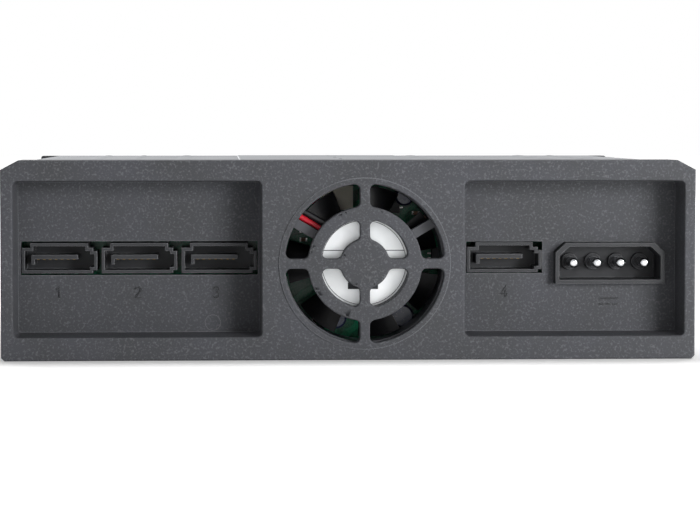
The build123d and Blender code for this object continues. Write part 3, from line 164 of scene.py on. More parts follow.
def mapped(tree: Tree, value: Socket, source: Pair, target: Pair = (0.0, 1.0)) -> Socket:
    """Map a value from one range to another and keep it inside the second.

    Args:
        tree: The node tree to add to.
        value: The value to map.
        source: The range that it comes from.
        target: The range that it is brought to.

    Returns:
        The mapped value.
    """
    node = add_node(tree, "ShaderNodeMapRange", {},
                    {"Value": value, "From Min": source[0], "From Max": source[1],
                     "To Min": target[0], "To Max": target[1]})
    return node.outputs["Result"]


def mixed(tree: Tree, share: Socket, first: "Colour | Socket",
          second: "Colour | Socket") -> Socket:
    """Mix two colours.

    Args:
        tree: The node tree to add to.
        share: How much of the second colour there is.
        first: The first colour.
        second: The second colour.

    Returns:
        The mixed colour.
    """
    node = add_node(tree, "ShaderNodeMix", {"data_type": "RGBA"},
                    {0: share, 6: first, 7: second})
    return node.outputs[2]


def fresh_material(name: str) -> tuple[bpy.types.Material, Tree]:
    """Make a material and empty its node tree.

    Args:
        name: The material's name.

    Returns:
        The material and its tree.
    """
    material = bpy.data.materials.new(name)
    material.use_nodes = True
    material.node_tree.nodes.clear()
    return material, material.node_tree


def new_object(name: str, data: bpy.types.ID) -> bpy.types.Object:
    """Make an object of this name from its data and link it into the scene."""
    thing = bpy.data.objects.new(name, data)
    bpy.context.scene.collection.objects.link(thing)
    return thing


class Pattern(Enum):
    """How the fine relief of a surface was made."""

    SPARK = "spark-eroded mould"
    ROLLED = "rolled sheet"
    MOULDED = "plain mould"
    TURNED = "turned or drawn"
    PRINTED = "film or lacquer"


@dataclass(frozen=True)
class Finish:
    """One real material and how its surface was made.

    Attributes:
        name: The material's name.
        base: Its main colour as sRGB hex.
        second: The colour that its blotches tend to.
        wear_and_highlight: The colour of its rubbed edges, of painted highlights on edges and
            of painted glints on single grains.
        roughness: Lowest and highest roughness over the surface.
        pattern: How the fine relief was made.
        metallic: One for bare metal.
        ior: Index of refraction of a non-metal.
        grain_mm: Width of the fine relief.
        grain_depth_mm: Depth of the fine relief.
        blotch_mm: Width of the slow colour changes.
        edge_mm: Radius that the edges seem to have.
        edge_wear_and_highlight: How far the edges take that colour, as rubbed wear and as
            painted highlights.
        painted_glint: How far single grains take that colour as painted glints.
        coat: Weight of a clear lacquer.
        transmission: Share of light that passes through.
        specular: How strongly a non-metal mirrors its surroundings.
    """

    name: str
    base: str
    second: str
    wear_and_highlight: str
    roughness: Pair = (0.4, 0.55)
    pattern: Pattern = Pattern.MOULDED
    metallic: float = 0.0
    ior: float = 1.5
    grain_mm: float = 0.3
    grain_depth_mm: float = 0.02
    blotch_mm: float = 14.0
    edge_mm: float = 0.25
    edge_wear_and_highlight: float = 0.35
    painted_glint: float = 0.0
    coat: float = 0.0
    transmission: float = 0.0
    specular: float = 0.35

    def relief(self, tree: Tree, coords: Socket) -> Socket:
        """The height of the fine relief, from the way the surface was made."""
        if self.pattern is Pattern.ROLLED:
            coords = add_node(tree, "ShaderNodeMapping", {},
                              {"Vector": coords, "Scale": ROLL_STRETCH}).outputs["Vector"]
        scale = per_mm(self.grain_mm)
        fine = add_node(tree, "ShaderNodeTexNoise", {},
                        {"Vector": coords, "Scale": scale, "Detail": 3.0,
                         "Roughness": 0.6}).outputs["Fac"]
        if self.pattern is not Pattern.SPARK:
            return fine
        pits = add_node(tree, "ShaderNodeTexVoronoi", {"feature": "SMOOTH_F1"},
                        {"Vector": coords, "Scale": scale * PIT_SCALE, "Smoothness": 0.6})
        return maths(tree, "MULTIPLY_ADD", pits.outputs["Distance"], PIT_SHARE, fine)

    def edge_wear_and_highlight_mask(self, tree: Tree, rounded: Socket) -> Socket:
        """How far each place takes the edge colour, as rubbed wear and as painted highlights:
        the full share on edges and near zero on flats.
        """
        geometry = add_node(tree, "ShaderNodeNewGeometry")
        along = add_node(tree, "ShaderNodeVectorMath", {"operation": "DOT_PRODUCT"},
                         {0: rounded, 1: geometry.outputs["Normal"]}).outputs["Value"]
        return maths(tree, "MULTIPLY", mapped(tree, along, (1.0, EDGE_COSINE)), self.edge_wear_and_highlight)

    def build(self) -> bpy.types.Material:
        """Make the material's node tree."""
        material, tree = fresh_material(self.name)
        coords = add_node(tree, "ShaderNodeTexCoord").outputs["Object"]
        blotch = add_node(tree, "ShaderNodeTexNoise", {},
                          {"Vector": coords, "Scale": per_mm(self.blotch_mm), "Detail": 4.0})
        colour = mixed(tree, mapped(tree, blotch.outputs["Fac"], BLOTCH_RANGE),
                       linear(self.base), linear(self.second))
        height = self.relief(tree, coords)
        # Painted glints: single grains take the colour of rubbed edges and highlights
        if self.painted_glint:
            grains = mapped(tree, height, PAINTED_GLINT_RANGE, (0.0, self.painted_glint))
            colour = mixed(tree, grains, colour, linear(self.wear_and_highlight))
        # Edges take that colour too, as rubbed wear and, on some finishes, as painted
        # highlights
        rounded = add_node(tree, "ShaderNodeBevel", {"samples": 4},
                           {"Radius": self.edge_mm * MM}).outputs["Normal"]
        colour = mixed(tree, self.edge_wear_and_highlight_mask(tree, rounded), colour, linear(self.wear_and_highlight))
        bump = add_node(tree, "ShaderNodeBump", {},
                        {"Height": height, "Distance": self.grain_depth_mm * MM,
                         "Strength": 1.0})
        if self.pattern is not Pattern.SPARK:
            tree.links.new(rounded, bump.inputs["Normal"])
        shader = add_node(tree, "ShaderNodeBsdfPrincipled", {},
                          {"Base Color": colour,
                           "Roughness": mapped(tree, height, ROUGH_RANGE, self.roughness),
                           "Normal": bump.outputs["Normal"], "Metallic": self.metallic,
                           "Transmission Weight": self.transmission,
                           "Specular IOR Level": self.specular,
                           "Coat Weight": self.coat, "Coat Roughness": 0.12})
        if not self.metallic:
            shader.inputs["IOR"].default_value = self.ior
        add_node(tree, "ShaderNodeOutputMaterial", {}, {"Surface": shader.outputs["BSDF"]})
        return material


# ABS shot into a spark-eroded tool: dull dark grey whose grain sparkles faintly, with painted
# glints on single grains and painted highlights along its rounded edges
HOUSING_ABS = Finish(
    "housing_abs", "#494a4d", "#4e4f54", "#8c8e92", (0.42, 0.6), Pattern.SPARK, ior=1.53,
    grain_mm=0.34, grain_depth_mm=0.012, edge_mm=0.3, edge_wear_and_highlight=0.75, painted_glint=0.28,
    specular=0.16)
# The raised marks on it, the same plastic: their darker colour is painted shade, as they catch
# less light between their strokes, and their bright edges are painted highlights
SHADED_MARK_ABS = Finish(
    "shaded_mark_abs", "#2c2d2f", "#313235", "#96989c", (0.4, 0.55), Pattern.SPARK, ior=1.53,
    grain_depth_mm=0.01, edge_mm=0.12, edge_wear_and_highlight=0.7, specular=0.2)
# The same plastic in black, a little finer: the tray fronts and their ring
BEZEL_ABS = Finish(
    "bezel_abs", "#2b2c2f", "#313236", "#5c5d61", (0.4, 0.58), Pattern.SPARK, ior=1.53,
    grain_depth_mm=0.025, edge_mm=0.3, painted_glint=0.12)
# Levers are handled, so their grain is polished on the edges
LEVER_ABS = Finish(
    "lever_abs", "#333438", "#3d3e42", "#77787c", (0.36, 0.52), Pattern.SPARK, ior=1.53,
    grain_mm=0.28, edge_mm=0.3, edge_wear_and_highlight=0.45, painted_glint=0.1)
# Polished mould: a smooth grey push button
BUTTON_ABS = Finish(
    "button_abs", "#8d9095", "#878a90", "#b5b7ba", (0.25, 0.38), ior=1.53, grain_mm=0.6,
    grain_depth_mm=0.006, edge_mm=0.35)
# Zinc-plated sheet: dull bright grey with faint rolling lines
ZINC_STEEL = Finish(
    "zinc_steel", "#808285", "#74767a", "#a2a4a7", (0.5, 0.66), Pattern.ROLLED, metallic=1.0,
    grain_mm=0.22, grain_depth_mm=0.006, blotch_mm=22.0, edge_mm=0.2, edge_wear_and_highlight=0.5)
# Zinc-plated screws, brighter and worn in the drive
SCREW_STEEL = Finish(
    "screw_steel", "#919294", "#7e8083", "#bdbebf", (0.38, 0.52), Pattern.TURNED, metallic=1.0,
    grain_mm=0.25, grain_depth_mm=0.008, blotch_mm=2.5, edge_mm=0.1, edge_wear_and_highlight=0.6)
# Glass-filled nylon: near-black connector bodies with a slight sheen
CONNECTOR_NYLON = Finish(
    "connector_nylon", "#343538", "#393a3d", "#9d9ea1", (0.38, 0.5), ior=1.54, grain_mm=0.25,
    grain_depth_mm=0.012, blotch_mm=5.0, edge_mm=0.3, edge_wear_and_highlight=0.75, painted_glint=0.08,
    specular=0.2)
# Gold flash over nickel on the port contacts
CONTACT_GOLD = Finish(
    "contact_gold", "#8d7648", "#75603a", "#b09a68", (0.3, 0.42), Pattern.TURNED, metallic=1.0,
    grain_mm=0.2, grain_depth_mm=0.003, blotch_mm=1.5, edge_mm=0.05)
# Bright tin over brass on the power pins
PIN_TIN = Finish(
    "pin_tin", "#cfd0d2", "#b4b6b9", "#f0f0f0", (0.1, 0.2), Pattern.TURNED, metallic=1.0,
    grain_mm=0.5, grain_depth_mm=0.006, blotch_mm=1.6, edge_mm=0.15)
# Dark moulded fan body and struts, smooth with flow marks
FAN_BODY = Finish(
    "fan_body", "#4b4c51", "#515257", "#85868a", (0.35, 0.5), ior=1.53, grain_mm=0.6,
    grain_depth_mm=0.01, blotch_mm=6.0, edge_mm=0.2, edge_wear_and_highlight=0.5)
# Glossy black blades
FAN_BLADE = Finish(
    "fan_blade", "#0f0f11", "#141416", "#4a4b4e", (0.34, 0.46), ior=1.53, grain_mm=1.2,
    grain_depth_mm=0.008, blotch_mm=7.0, edge_mm=0.12, edge_wear_and_highlight=0.5, specular=0.12)
# Metallised film label, bare
LABEL_FILM = Finish(
    "label_film", "#eceeef", "#e0e3e5", "#f6f7f7", (0.3, 0.42), Pattern.PRINTED, metallic=0.6,
    grain_mm=0.5, grain_depth_mm=0.003, blotch_mm=5.0, edge_mm=0.05, edge_wear_and_highlight=0.2)
# Printing ink on the label: matt near-black
LABEL_INK = Finish(
    "label_ink", "#26282b", "#303236", "#45474b", (0.45, 0.6), Pattern.PRINTED,
    grain_depth_mm=0.002, blotch_mm=2.0, edge_mm=0.03)
# Soft PVC insulation, slightly waxy
LEAD_RED = Finish(
    "lead_red", "#d21f33", "#bf1a2c", "#e8606c", (0.3, 0.42), ior=1.52, grain_mm=0.8,
    grain_depth_mm=0.012, blotch_mm=4.0, edge_mm=0.1)
LEAD_BLACK = Finish(
    "lead_black", "#141416", "#1c1c1f", "#3c3c40", (0.3, 0.42), ior=1.52, grain_mm=0.8,
    grain_depth_mm=0.012, blotch_mm=4.0, edge_mm=0.1)
# Natural nylon plug and header, ivory
PLUG_NYLON = Finish(
    "plug_nylon", "#dcd8c8", "#d0ccba", "#efece0", (0.35, 0.5), ior=1.53, grain_depth_mm=0.01,
    blotch_mm=3.0, edge_mm=0.12)
# Enamelled copper wire
COPPER_WINDING = Finish(
    "copper_winding", "#a5552e", "#8c4423", "#d08a5c", (0.25, 0.4), Pattern.TURNED,
    metallic=1.0, grain_mm=0.15, grain_depth_mm=0.03, blotch_mm=2.0, edge_mm=0.1)
# Sintered bronze, oil-soaked
BEARING_BRONZE = Finish(
    "bearing_bronze", "#9c7a48", "#84653a", "#c6a878", (0.3, 0.45), Pattern.TURNED,
    metallic=1.0, grain_mm=0.15, grain_depth_mm=0.01, blotch_mm=1.5, edge_mm=0.06)
# Ground steel shaft and pins
GROUND_STEEL = Finish(
    "ground_steel", "#c2c3c5", "#a9abae", "#e6e6e6", (0.15, 0.26), Pattern.TURNED,
    metallic=1.0, grain_mm=0.2, grain_depth_mm=0.003, blotch_mm=2.0, edge_mm=0.08)
# Blue-grey tempered strip
SPRING_STEEL = Finish(
    "spring_steel", "#8e939a", "#7b8088", "#b8bcc2", (0.22, 0.35), Pattern.ROLLED,
    metallic=1.0, grain_mm=0.15, grain_depth_mm=0.003, blotch_mm=2.0, edge_mm=0.05)
# Bonded ferrite, charcoal
FERRITE = Finish(
    "ferrite", "#2a2a2b", "#343435", "#4a4a4b", (0.5, 0.65), Pattern.SPARK, grain_mm=0.2,
    blotch_mm=3.0, edge_mm=0.1)
# Cast acrylic light guide
CLEAR_ACRYLIC = Finish(
    "clear_acrylic", "#eef3f3", "#e4eeee", "#ffffff", (0.08, 0.18), ior=1.49, grain_mm=1.5,
    grain_depth_mm=0.004, blotch_mm=6.0, edge_mm=0.15, transmission=0.75)
# Clear epoxy over the lamp dies
LAMP_EPOXY = Finish(
    "lamp_epoxy", "#e6efe2", "#dbe8d6", "#ffffff", (0.1, 0.2), ior=1.54, grain_mm=0.8,
    grain_depth_mm=0.004, blotch_mm=2.0, edge_mm=0.1, transmission=0.4)
# Aluminium can in a dark sleeve
CAPACITOR_SLEEVE = Finish(
    "capacitor_sleeve", "#2c3550", "#252d45", "#5a6484", (0.2, 0.32), Pattern.PRINTED,
    grain_mm=0.8, grain_depth_mm=0.006, blotch_mm=3.0, edge_mm=0.15, coat=0.3)
# Dull solder on the board's pads
SOLDER = Finish(
    "solder", "#c3c5c4", "#adb0ae", "#e2e2e0", (0.22, 0.38), Pattern.TURNED, metallic=1.0,
    blotch_mm=1.0, edge_mm=0.15)
# Epoxy chip bodies on the board
CHIP_EPOXY = Finish(
    "chip_epoxy", "#232427", "#2b2c2f", "#4d4e52", (0.42, 0.55), grain_mm=0.2,
    grain_depth_mm=0.01, blotch_mm=2.0, edge_mm=0.08)
# Sintered ceramic of chip capacitors: matt brown
CHIP_CERAMIC = Finish(
    "chip_ceramic", "#8a6f58", "#7d644f", "#a98f78", (0.4, 0.52), grain_mm=0.2,
    grain_depth_mm=0.006, blotch_mm=1.0, edge_mm=0.06)
# The same nylon as the connectors, darkened with painted shade for the inlet's wells
WELL_NYLON = Finish(
    "well_nylon", "#0c0d0e", "#101112", "#2a2b2d", (0.45, 0.58), ior=1.54, grain_mm=0.25,
    grain_depth_mm=0.012, blotch_mm=3.0, edge_mm=0.1, specular=0.15)
# White screen print on the tray fronts
SCREEN_PRINT = Finish(
    "screen_print", "#d8dadb", "#ccced0", "#eeeeee", (0.5, 0.62), Pattern.PRINTED,
    grain_mm=0.2, grain_depth_mm=0.004, blotch_mm=1.5, edge_mm=0.03)


@dataclass(frozen=True)
class Lamp:
    """A square soft lamp.

    Attributes:
        name: Its name.
        place: Where it hangs.
        side: The length of its sides.
        power: Its power in watts.
    """

    name: str
    place: Triple
    side: float
    power: float


@dataclass
class Studio:
    """The camera, the floor and the lamps, none of them part of the object.

    Attributes:
        camera_from: Where the camera stands.
        camera_to: The point that it looks at.
        lens_mm: Focal length on the sensor.
        sensor_mm: Width of the sensor.
        clip: Nearest and farthest distance that the camera sees.
        floor_half: Half the side of the floor.
        footprint: Half the side of the square that the cage stands on.
        glow_reach: Distances from it over which the floor's glow grows, in two steps.
        glow_rise: The glow at either end of those steps.
        lamps: Three lamps behind the cage, one above it and two on its tray side.
        lamps_aim: The point that every lamp faces.
        world_level: Strength of the even light from all round.
    """

    camera_from: Triple = (0.0262, 0.6232, 0.04835)
    camera_to: Triple = (0.0, 0.0732, 0.02003)
    lens_mm: float = 135.17
    sensor_mm: float = 36.0
    clip: Pair = (0.01, 20.0)
    floor_half: float = 4.0
    footprint: float = 0.074
    glow_reach: tuple[Pair, Pair] = ((0.002, 0.02), (0.08, 0.45))
    glow_rise: tuple[Pair, Pair] = ((0.28, 0.66), (0.0, 0.34))
    lamps: tuple[Lamp, ...] = (Lamp("key", (-0.33, 0.49, 0.105), 0.2, 2.2),
                               Lamp("fill", (0.35, 1.2, 0.2), 0.5, 0.8),
                               Lamp("bounce", (-0.13, 0.3, 0.012), 0.12, 0.11),
                               Lamp("top", (-0.1, -0.16, 1.1), 0.4, 4.6),
                               Lamp("front_left", (0.6, -1.1, 0.5), 0.6, 7.0),
                               Lamp("front_right", (-0.7, -1.0, 0.4), 0.6, 4.5))
    lamps_aim: Triple = (0.0, 0.0, 0.02)
    world_level: float = 0.09

    def place(self, name: str, data: bpy.types.ID, spot: Triple,
              aim: Triple) -> bpy.types.Object:
        """Put a camera or lamp into the scene and aim it.

        Args:
            name: Its name.
            data: The camera or light.
            spot: Where it stands.
            aim: The point that it looks at.

        Returns:
            The new object.
        """
        thing = new_object(name, data)
        thing.location = spot
        thing.rotation_euler = (Vector(aim) - Vector(spot)).to_track_quat("-Z", "Y").to_euler()
        return thing

    def camera(self) -> None:
        """Stand the camera behind the cage and aim it at the rear face."""
        data = bpy.data.cameras.new("camera")
        data.lens = self.lens_mm
        data.sensor_width = self.sensor_mm
        data.clip_start, data.clip_end = self.clip
        bpy.context.scene.camera = self.place("camera", data, self.camera_from, self.camera_to)

    def pale_rays(self, tree: Tree) -> Socket:
        """One for the rays that see the background: the camera's, mirrored and passed ones."""
        rays = add_node(tree, "ShaderNodeLightPath").outputs
        first = maths(tree, "MAXIMUM", rays["Is Camera Ray"], rays["Is Glossy Ray"])
        return maths(tree, "MAXIMUM", first, rays["Is Transmission Ray"])

    def floor(self) -> None:
        """Lay a white floor that glows more with distance and keeps the shadow near."""
        material, tree = fresh_material("studio_floor")
        coords = add_node(tree, "ShaderNodeTexCoord").outputs["Object"]
        folded = add_node(tree, "ShaderNodeVectorMath", {"operation": "ABSOLUTE"}, {0: coords})
        beyond = add_node(tree, "ShaderNodeVectorMath", {"operation": "SUBTRACT"},
                          {0: folded.outputs[0], 1: (self.footprint, self.footprint, 0.0)})
        outside = add_node(tree, "ShaderNodeVectorMath", {"operation": "MAXIMUM"},
                           {0: beyond.outputs[0], 1: (0.0, 0.0, 0.0)})
        away = add_node(tree, "ShaderNodeVectorMath", {"operation": "LENGTH"},
                        {0: outside.outputs[0]}).outputs["Value"]
        steps = [mapped(tree, away, reach, rise)
                 for reach, rise in zip(self.glow_reach, self.glow_rise)]
        seen = maths(tree, "MULTIPLY", maths(tree, "ADD", *steps), self.pale_rays(tree))
        light = add_node(tree, "ShaderNodeEmission", {},
                         {"Color": linear("#ffffff"), "Strength": seen})
        matt = add_node(tree, "ShaderNodeBsdfDiffuse", {}, {"Color": linear("#f2f2f2")})
        both = add_node(tree, "ShaderNodeAddShader", {},
                        {0: light.outputs[0], 1: matt.outputs[0]})
        add_node(tree, "ShaderNodeOutputMaterial", {}, {"Surface": both.outputs[0]})
        mesh = bpy.data.meshes.new("floor")
        half = self.floor_half
        corners = [(-half, -half, 0), (half, -half, 0), (half, half, 0), (-half, half, 0)]
        mesh.from_pydata(corners, [], [(0, 1, 2, 3)])
        mesh.materials.append(material)
        new_object("floor", mesh)

    def world(self) -> None:
        """Light all round at a plain level, with white behind the object."""
        world = bpy.data.worlds.new("studio_world")
        bpy.context.scene.world = world
        world.use_nodes = True
        tree = world.node_tree
        tree.nodes.clear()
        soft, white = (add_node(tree, "ShaderNodeBackground", {},
                                {"Color": linear("#ffffff"), "Strength": strength})
                       for strength in (self.world_level, 1.0))
        mix = add_node(tree, "ShaderNodeMixShader", {},
                       {0: self.pale_rays(tree), 1: soft.outputs[0], 2: white.outputs[0]})
        add_node(tree, "ShaderNodeOutputWorld", {}, {"Surface": mix.outputs[0]})

    def lights(self) -> None:
        """Hang the lamps, out of the camera's sight."""
        for lamp in self.lamps:
            data = bpy.data.lights.new(lamp.name, "AREA")
            data.shape = "SQUARE"
            data.size = lamp.side
            data.energy = lamp.power
            self.place(lamp.name, data, lamp.place, self.lamps_aim).visible_camera = False

    def build(self) -> None:
        """Set up the whole studio, camera first."""
        self.camera()
        self.floor()
        self.world()
        self.lights()


class Dresser:
    """Gives finishes to the CAD pieces and adds new pieces to the scene."""

    def __init__(self) -> None:
        """Start with no material built."""
        self.built: dict[str, bpy.types.Material] = {}

    def material(self, finish: "Finish | BoardFinish") -> bpy.types.Material:
        """The material of a finish, built on first use."""
        if finish.name not in self.built:
            self.built[finish.name] = finish.build()
        return self.built[finish.name]

    def dress(self, node: str, finish: "Finish | BoardFinish") -> None:
        """Assign a finish to every material slot of a CAD piece.

        Args:
            node: The CAD piece's name.
            finish: The finish that it gets.
        """
        piece = frame["nodes"][node]
        if not piece.material_slots:
            raise RuntimeError(f"{node} has no material slot")
        for slot in piece.material_slots:
            slot.link = "OBJECT"
            slot.material = self.material(finish)
        log.info("dressed %s as %s", node, finish.name)

    def add(self, name: str, bm: Mesh, finish: "Finish | BoardFinish", body: str,
            slot: str) -> bpy.types.Object:
        """Turn a bmesh into a piece that rides on a body.

        Args:
            name: The piece's name.
            bm: Its shape, which is freed.
            finish: Its finish.
            body: The body that it rides on.
            slot: The record's material slot that it belongs to; not used.

        Returns:
            The new object.
        """
        bmesh.ops.recalc_face_normals(bm, faces=bm.faces)
        mesh = bpy.data.meshes.new(name)
        bm.to_mesh(mesh)
        bm.free()
        mesh.materials.append(self.material(finish))
        piece = new_object(name, mesh)
        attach(piece, body)
        log.info("made %s, %d faces, on %s", name, len(mesh.polygons), body)
        return piece


@dataclass(frozen=True)
class BoardFinish:
    """A solder-masked glass fibre board: copper traces show through the mask as paler green.

    Attributes:
        name: The material's name.
        base: The mask's colour over bare laminate.
        trace: Its colour over copper.
        trace_mm: Distance from one trace to the next.
        weave_mm: Width of a bundle in the glass cloth.
    """

    name: str = "board_mask"
    base: str = "#06563a"
    trace: str = "#0d7350"
    trace_mm: float = 1.6
    weave_mm: float = 0.45

    def build(self) -> bpy.types.Material:
        """Make the material's node tree."""
        material, tree = fresh_material(self.name)
        coords = add_node(tree, "ShaderNodeTexCoord").outputs["Object"]
        bands = add_node(tree, "ShaderNodeTexWave",
                         {"wave_type": "BANDS", "bands_direction": "DIAGONAL"},
                         {"Vector": coords, "Scale": per_mm(self.trace_mm) / 6.0,
                          "Distortion": 5.0, "Detail": 1.0, "Detail Scale": 1.5})
        lines = mapped(tree, bands.outputs["Fac"], (0.62, 0.7))
        weave = add_node(tree, "ShaderNodeTexNoise", {},
                         {"Vector": coords, "Scale": per_mm(self.weave_mm),
                          "Detail": 2.0}).outputs["Fac"]
        height = maths(tree, "MULTIPLY_ADD", lines, 1.5, weave)
        bump = add_node(tree, "ShaderNodeBump", {}, {"Height": height, "Distance": 0.02 * MM})
        shader = add_node(tree, "ShaderNodeBsdfPrincipled", {},
                          {"Base Color": mixed(tree, lines, linear(self.base),
                                               linear(self.trace)),
                           "Roughness": mapped(tree, weave, (0.0, 1.0), (0.2, 0.36)),
                           "Normal": bump.outputs["Normal"], "IOR": 1.5,
                           "Specular IOR Level": 0.25,
                           "Coat Weight": 0.12, "Coat Roughness": 0.15})
        add_node(tree, "ShaderNodeOutputMaterial", {}, {"Surface": shader.outputs["BSDF"]})
        return material


# Green solder mask over copper and glass cloth: glossy, with faint paler traces
BOARD_MASK = BoardFinish()


class Side(Enum):
    """Which way an upright face looks: its sign along X and Y seen from outside."""

    REAR = (-1.0, 1.0)
    FRONT = (1.0, -1.0)


# Strokes of the plain digits, in a box 0.6 wide and 1 high
DIGITS = {
    1: [(0.12, 0.8), (0.34, 1.0), (0.34, 0.0)],
    2: [(0.04, 0.78), (0.12, 0.93), (0.3, 1.0), (0.48, 0.93), (0.55, 0.76), (0.49, 0.58),
        (0.3, 0.36), (0.04, 0.03), (0.58, 0.03)],
    3: [(0.05, 0.84), (0.15, 0.96), (0.32, 1.0), (0.48, 0.93), (0.53, 0.77), (0.46, 0.61),
        (0.28, 0.54), (0.46, 0.48), (0.56, 0.3), (0.5, 0.1), (0.32, 0.0), (0.14, 0.04),
        (0.03, 0.17)],
    4: [(0.44, 0.0), (0.44, 1.0), (0.02, 0.3), (0.6, 0.3)]}
DIGIT_MIDDLE = (0.3, 0.5)


class Relief:
    """Shapes that stand on an upright face, gathered in one mesh.

    Their places and sizes are in mm, across and up as seen squarely from outside.
    """

    def __init__(self, side: Side, level_mm: float) -> None:
        """Start with an empty mesh.

        Args:
            side: Which way the face looks.
            level_mm: Where it lies along Y.
        """
        self.side = side
        self.level_mm = level_mm
        self.bm = bmesh.new()

    def vertex(self, across: float, up: float, rise: float) -> bmesh.types.BMVert:
        """Add a vertex from its place across, up and out of the face."""
        flip, out = self.side.value
        return self.bm.verts.new(Vector((flip * across, self.level_mm + out * rise, up)) * MM)

    def loft(self, rings: list[list[Triple]], hollow: bool = False) -> None:
        """Join rings of points with faces, from the first to the last.

        Args:
            rings: Rings of the same count, each point as across, up and rise.
            hollow: Whether the last ring joins the first, instead of a lid on either.
        """
        loops = [[self.vertex(*point) for point in ring] for ring in rings]
        pairs = list(zip(loops, loops[1:]))
        if hollow:
            pairs.append((loops[-1], loops[0]))
        for low, high in pairs:
            for i in range(len(low)):
                j = (i + 1) % len(low)
                self.bm.faces.new((low[i], low[j], high[j], high[i]))
        if not hollow:
            self.bm.faces.new(loops[0])
            self.bm.faces.new(loops[-1])

    def block(self, middle: Pair, size: Pair, rise: Pair, edge: float) -> None:
        """Stand a block on the face.

        Args:
            middle: Its middle.
            size: Its width and height.
            rise: Where it starts and ends out of the face.
            edge: Width of its broken edges.
        """
        rings = []
        for inset, level in ((0.0, rise[0]), (0.0, rise[1] - edge), (edge, rise[1])):
            half_w, half_h = size[0] / 2 - inset, size[1] / 2 - inset
            rings.append([(middle[0] + i * half_w, middle[1] + j * half_h, level)
                          for i, j in ((-1, -1), (1, -1), (1, 1), (-1, 1))])
        self.loft(rings)

    def turned(self, middle: Pair, profile: Sequence[Pair], count: int,
               hollow: bool = True) -> None:
        """Turn a profile about an axis that stands on the face.

        Args:
            middle: Where the axis stands.
            profile: Radius and rise of each ring.
            count: Points round each ring.
            hollow: Whether the profile closes on itself, as a washer's does.
        """
        turns = [2 * math.pi * i / count for i in range(count)]
        self.loft([[(middle[0] + radius * math.cos(a), middle[1] + radius * math.sin(a), level)
                    for a in turns] for radius, level in profile], hollow)

    def stroke(self, points: Sequence[Pair], half: float, rise: float) -> None:
        """Raise a flat-topped line with mitred corners and a little draft.

        Args:
            points: Its middle line.
            half: Half its width.
            rise: Its height.
        """
        line = [Vector(point) for point in points]
        sides = []
        for i, here in enumerate(line):
            before = line[max(i - 1, 0)]
            after = line[min(i + 1, len(line) - 1)]
            ahead = (after - here if after != here else here - before).normalized()
            behind = (here - before if before != here else after - here).normalized()
            across = Vector((-ahead.y - behind.y, ahead.x + behind.x)).normalized()
            sides.append(across / max(MITRE_LIMIT, across.dot(Vector((-ahead.y, ahead.x)))))
        rows = [[[self.vertex(p.x + way * s.x * width, p.y + way * s.y * width, level)
                  for p, s in zip(line, sides)] for way in (1, -1)]
                for width, level in ((half, SUNK), (half * STROKE_TOP, rise))]
        (low_left, low_right), (top_left, top_right) = rows
        for i in range(len(line) - 1):
            for near, far in ((top_left, top_right), (low_left, top_left),
                              (low_right, top_right), (low_left, low_right)):
                self.bm.faces.new((near[i], near[i + 1], far[i + 1], far[i]))
        for i in (0, -1):
            self.bm.faces.new((low_left[i], top_left[i], top_right[i], low_right[i]))

    def digit(self, number: int, middle: Pair, height: float, half: float,
              rise: float) -> None:
        """Raise a plain digit.

        Args:
            number: The digit.
            middle: Its middle.
            height: Its height.
            half: Half the width of its strokes.
            rise: How far it stands out.
        """
        self.stroke([(middle[0] + (x - DIGIT_MIDDLE[0]) * height,
                      middle[1] + (y - DIGIT_MIDDLE[1]) * height)
                     for x, y in DIGITS[number]], half, rise)


@dataclass
class RecessMarks:
    """What the mould leaves raised on the floors of the two recesses.

    Places are across and up in mm, seen from behind.

    Attributes:
        level_mm: Where the recess floor lies along Y.
        digits_across: Where each port's digit stands.
        digits_up: Height of the digits' middles.
        digit_h: Height of a digit.
        stroke_half: Half the width of a stroke.
        rise: How far the marks stand out.
        current_at: Middle of the direct current mark.
        current_w: Its width.
        current_gap: How far its bar and its dashes lie from that middle.
        dashes: How many dashes it has.
        dash_part: How many times a dash goes into the bar.
        ejector_at: Where an ejector pin of the mould left a ring.
        ejector_ring: Radius and rise round the ring's section.
    """

    level_mm: float = 63.2
    digits_across: tuple[float, ...] = (-61.4, -44.6, -28.1, 33.6)
    digits_up: float = 13.75
    digit_h: float = 2.3
    stroke_half: float = 0.2
    rise: float = 0.3
    current_at: Pair = (56.1, 11.6)
    current_w: float = 3.9
    current_gap: float = 0.62
    dashes: int = 3
    dash_part: float = 4.2
    ejector_at: Pair = (-28.8, 7.3)
    ejector_ring: tuple[Pair, ...] = ((1.75, SUNK), (1.72, 0.03), (1.6, 0.03), (1.57, SUNK))

    def build(self, dresser: Dresser) -> None:
        """Raise the digits, the direct current mark and the ejector ring."""
        marks = Relief(Side.REAR, self.level_mm)
        for number, across in enumerate(self.digits_across, 1):
            marks.digit(number, (across, self.digits_up), self.digit_h, self.stroke_half,
                        self.rise)
        middle, up = self.current_at
        left = middle - self.current_w / 2
        dash = self.current_w / self.dash_part
        bars = [(left, up + self.current_gap, self.current_w)]
        bars += [(left + i * (self.current_w - dash) / (self.dashes - 1),
                  up - self.current_gap, dash) for i in range(self.dashes)]
        for start, level, width in bars:
            marks.stroke([(start, level), (start + width, level)], self.stroke_half, self.rise)
        # The marks take a colour with painted shade and painted edge highlights
        dresser.add("recess_marks", marks.bm, SHADED_MARK_ABS, "cage", "housing_abs")
        ring = Relief(Side.REAR, self.level_mm)
        ring.turned(self.ejector_at, self.ejector_ring, 32)
        dresser.add("ejector_rings", ring.bm, HOUSING_ABS, "cage", "housing_abs")


